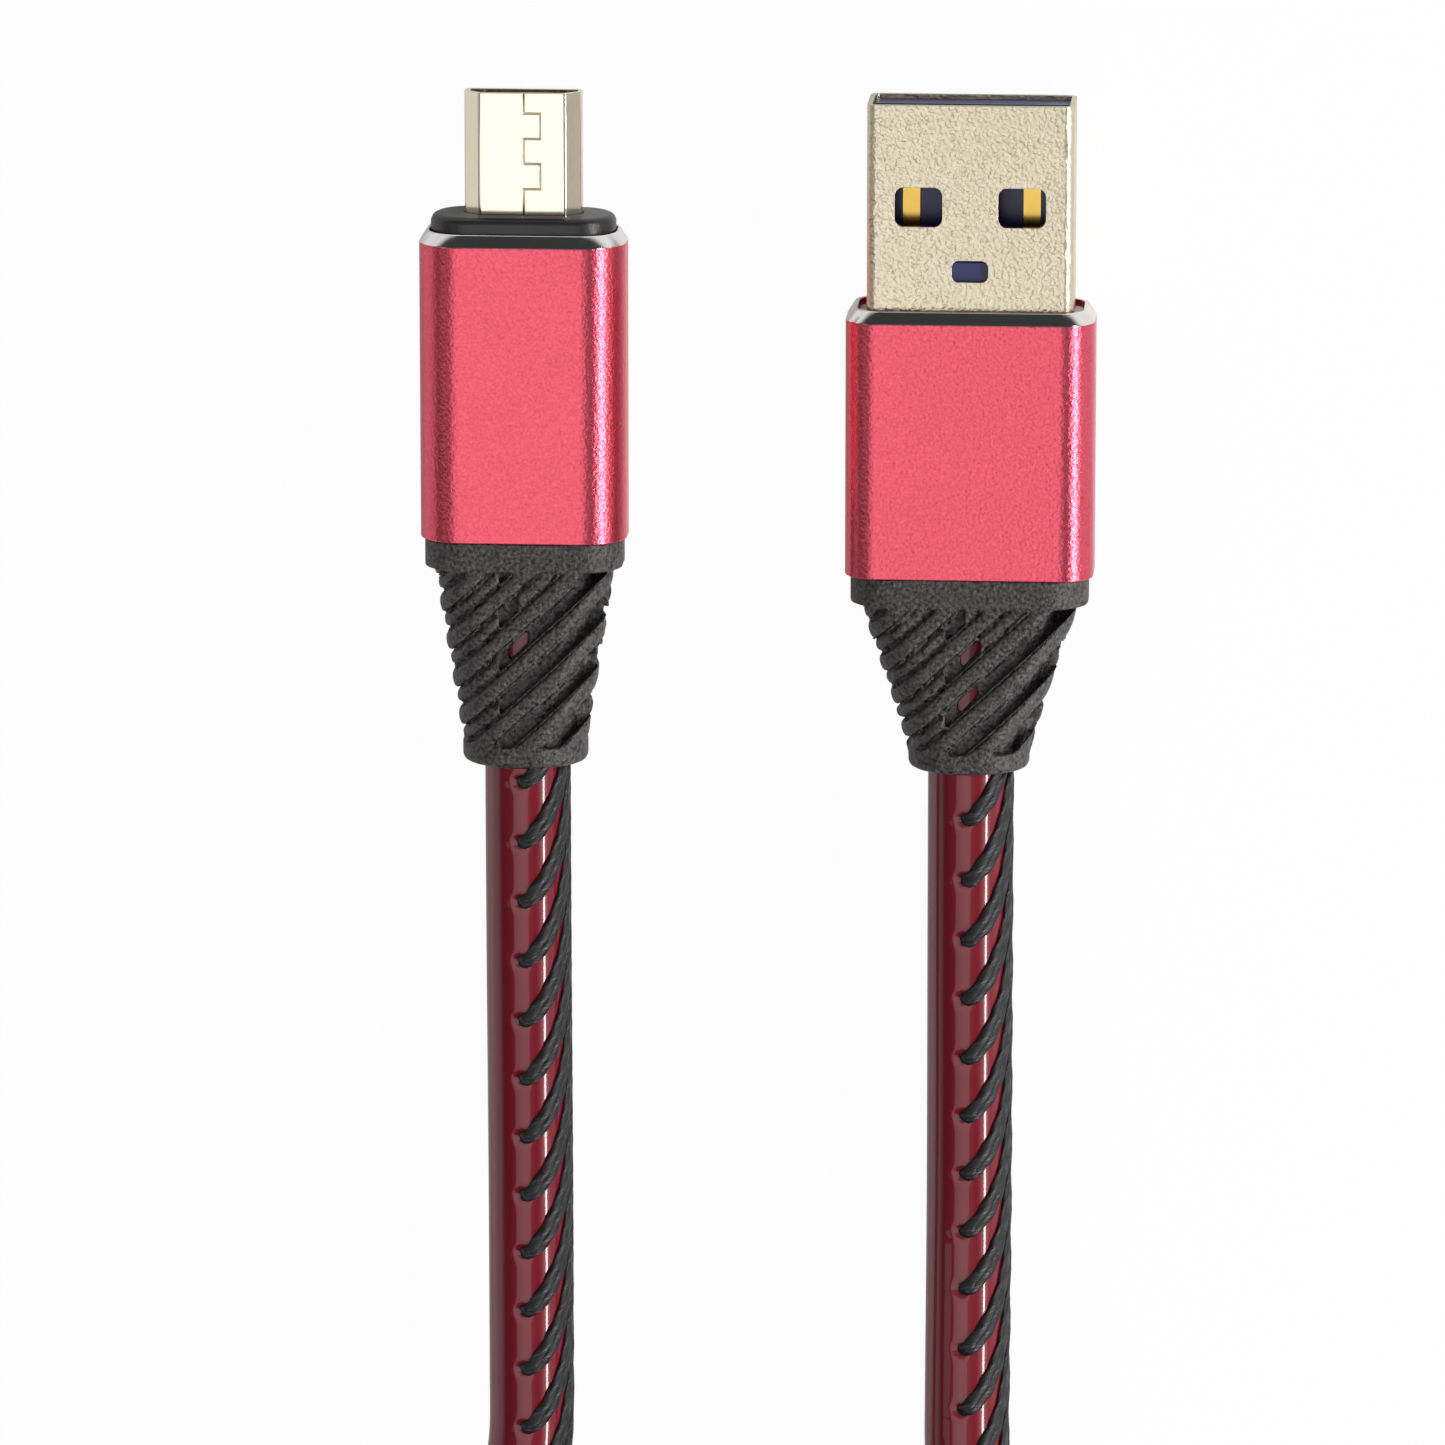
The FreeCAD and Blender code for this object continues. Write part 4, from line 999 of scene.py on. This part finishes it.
def boot(node_name, name, x, ring_width, sleeve_back, groove_phase):
    """A strain relief: the solid's ribs, made round and soft."""
    piece = solid_copy(node_name, name)
    low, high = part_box(node_name)
    collar_back = sleeve_back - COLLAR_LENGTH
    ring_front = BOOT_END_Y + RING_LENGTH
    web_back_half = ring_width / 2 - WEB_SIDE
    web_front_half = (high.x - low.x) / 2 - COLLAR_STEP - WEB_SIDE
    middle = (x, (BOOT_END_Y + collar_back) / 2, MID_Z)
    bpy.ops.object.select_all(action="DESELECT")
    span = (1, collar_back - BOOT_END_Y, WEB_HEIGHT)
    bpy.ops.mesh.primitive_cube_add(size=1, location=middle, scale=span)
    web = bpy.context.active_object
    bpy.ops.object.transform_apply(location=True, rotation=True, scale=True)
    for vertex in web.data.vertices:
        half_width = web_back_half if vertex.co.y < middle[1] else web_front_half
        vertex.co.x = x + math.copysign(half_width, vertex.co.x - x)
    piece.select_set(True)
    bpy.context.view_layer.objects.active = piece
    bpy.ops.object.join()
    grid = piece.modifiers.new("even_grid", "REMESH")
    grid.mode = "VOXEL"
    grid.voxel_size = BOOT_GRID
    bpy.ops.object.modifier_apply(modifier=grid.name)
    half_turn = math.pi / 4 / CORNER_CHORDS
    for vertex in piece.data.vertices:
        y = vertex.co.y
        if y > sleeve_back:
            continue
        if y > collar_back:
            width, corner = high.x - low.x, COLLAR_CORNER
        else:
            share = min(max((y - ring_front) / (collar_back - ring_front), 0.0), 1.0)
            front_width = high.x - low.x - 2 * COLLAR_STEP
            width = ring_width + (front_width - ring_width) * share
            corner = RING_CORNER + (COLLAR_CORNER - RING_CORNER) * share
        across = abs(vertex.co.x - x) - (width / 2 - corner)
        above = abs(vertex.co.z - MID_Z) - (BOOT_HEIGHT / 2 - corner)
        reach = math.hypot(across, above)
        if across <= 0 or above <= 0 or reach < CORNER_DEPTH * corner:
            continue
        angle = math.atan2(above, across) % (2 * half_turn)
        grow = math.cos(angle - half_turn) / math.cos(half_turn) - 1
        vertex.co.x += math.copysign(across * grow, vertex.co.x - x)
        vertex.co.z += math.copysign(above * grow, vertex.co.z - MID_Z)
    relax = piece.modifiers.new("relax", "SMOOTH")
    relax.factor = 0.5
    relax.iterations = RELAX_STEPS
    bpy.ops.object.modifier_apply(modifier=relax.name)
    carve(piece, x, low, high, collar_back, ring_front + groove_phase)
    fewer = piece.modifiers.new("fewer_faces", "DECIMATE")
    fewer.ratio = min(1.0, BOOT_TRIANGLES / (2 * len(piece.data.polygons)))
    bpy.ops.object.modifier_apply(modifier=fewer.name)
    bpy.ops.object.shade_smooth()
    piece.data.materials.append(boot_rubber)
    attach(piece, "root")
    print(name, "faces:", len(piece.data.polygons))


boot("host_boot", "wide_boot", HOST_X, 7.1 * MM, wide_sleeve_back, 1.95 * MM)
boot("device_boot", "small_boot", DEVICE_X, 7.36 * MM, small_sleeve_back, 1.3 * MM)

# %% [markdown]
# ## The two plugs' metal tips and what is in them
# The tips are stamped and folded from plated sheet, so their solids have the right shape and only need
# the tiny radius that a press leaves on every edge, which catches a line of light. The wide tip is
# blasted to a fine pebble, and the small one is left bright.

# %% Pieces with pressed or moulded edges


MERGE_ANGLE = math.radians(0.5)


def edged_piece(node_name, name, width, paint, body):
    """A CAD solid's copy with a small radius on its edges and a finish."""
    piece = solid_copy(node_name, name)
    start_editing(piece, "VERT")
    bpy.ops.mesh.select_all(action="SELECT")
    bpy.ops.mesh.dissolve_limited(angle_limit=MERGE_ANGLE)
    bpy.ops.object.mode_set(mode="OBJECT")
    soften(piece, width)
    piece.data.materials.append(paint)
    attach(piece, body)


edged_piece("host_shell", "wide_tip", 0.06 * MM, pebbled_nickel, "root")
edged_piece("device_shell", "small_tip", 0.05 * MM, bright_nickel, "root")
edged_piece("host_tongue", "blue_insulator", 0.05 * MM, tongue_blue, "root")
edged_piece("device_tongue", "black_insulator", 0.04 * MM, tongue_black, "root")
edged_piece("device_nose", "nose", 0.10 * MM, nose_plastic, "root")
for side in ("left", "right"):
    body = "latch_" + side
    edged_piece("device_" + body, "latch_spring_" + side, 0.02 * MM, spring_steel, body)

# %% Finishes of the solids that keep their own mesh
kept = {
    "host_inner_mould": mould_white,
    "device_inner_mould": mould_white,
    "host_crimp_clamp": bright_nickel,
    "host_cord_jacket": jacket_black,
    "device_cord_jacket": jacket_black,
    "host_cord_cover": leather,
    "device_cord_cover": leather,
}
kept.update({"host_contact_%d" % k: contact_gold for k in range(1, 5)})
kept.update({"device_contact_%d" % k: contact_gold for k in range(1, 6)})
for plug in ("host", "device"):
    kept.update({"%s_wire_%s" % (plug, colour): paint for colour, paint in wire_paint.items()})
for node_name, paint in kept.items():
    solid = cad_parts[node_name]
    for material_slot in solid.material_slots:
        material_slot.material = paint
    if not solid.material_slots:
        solid.data.materials.append(paint)
print("solids that keep their own mesh:", len(kept))
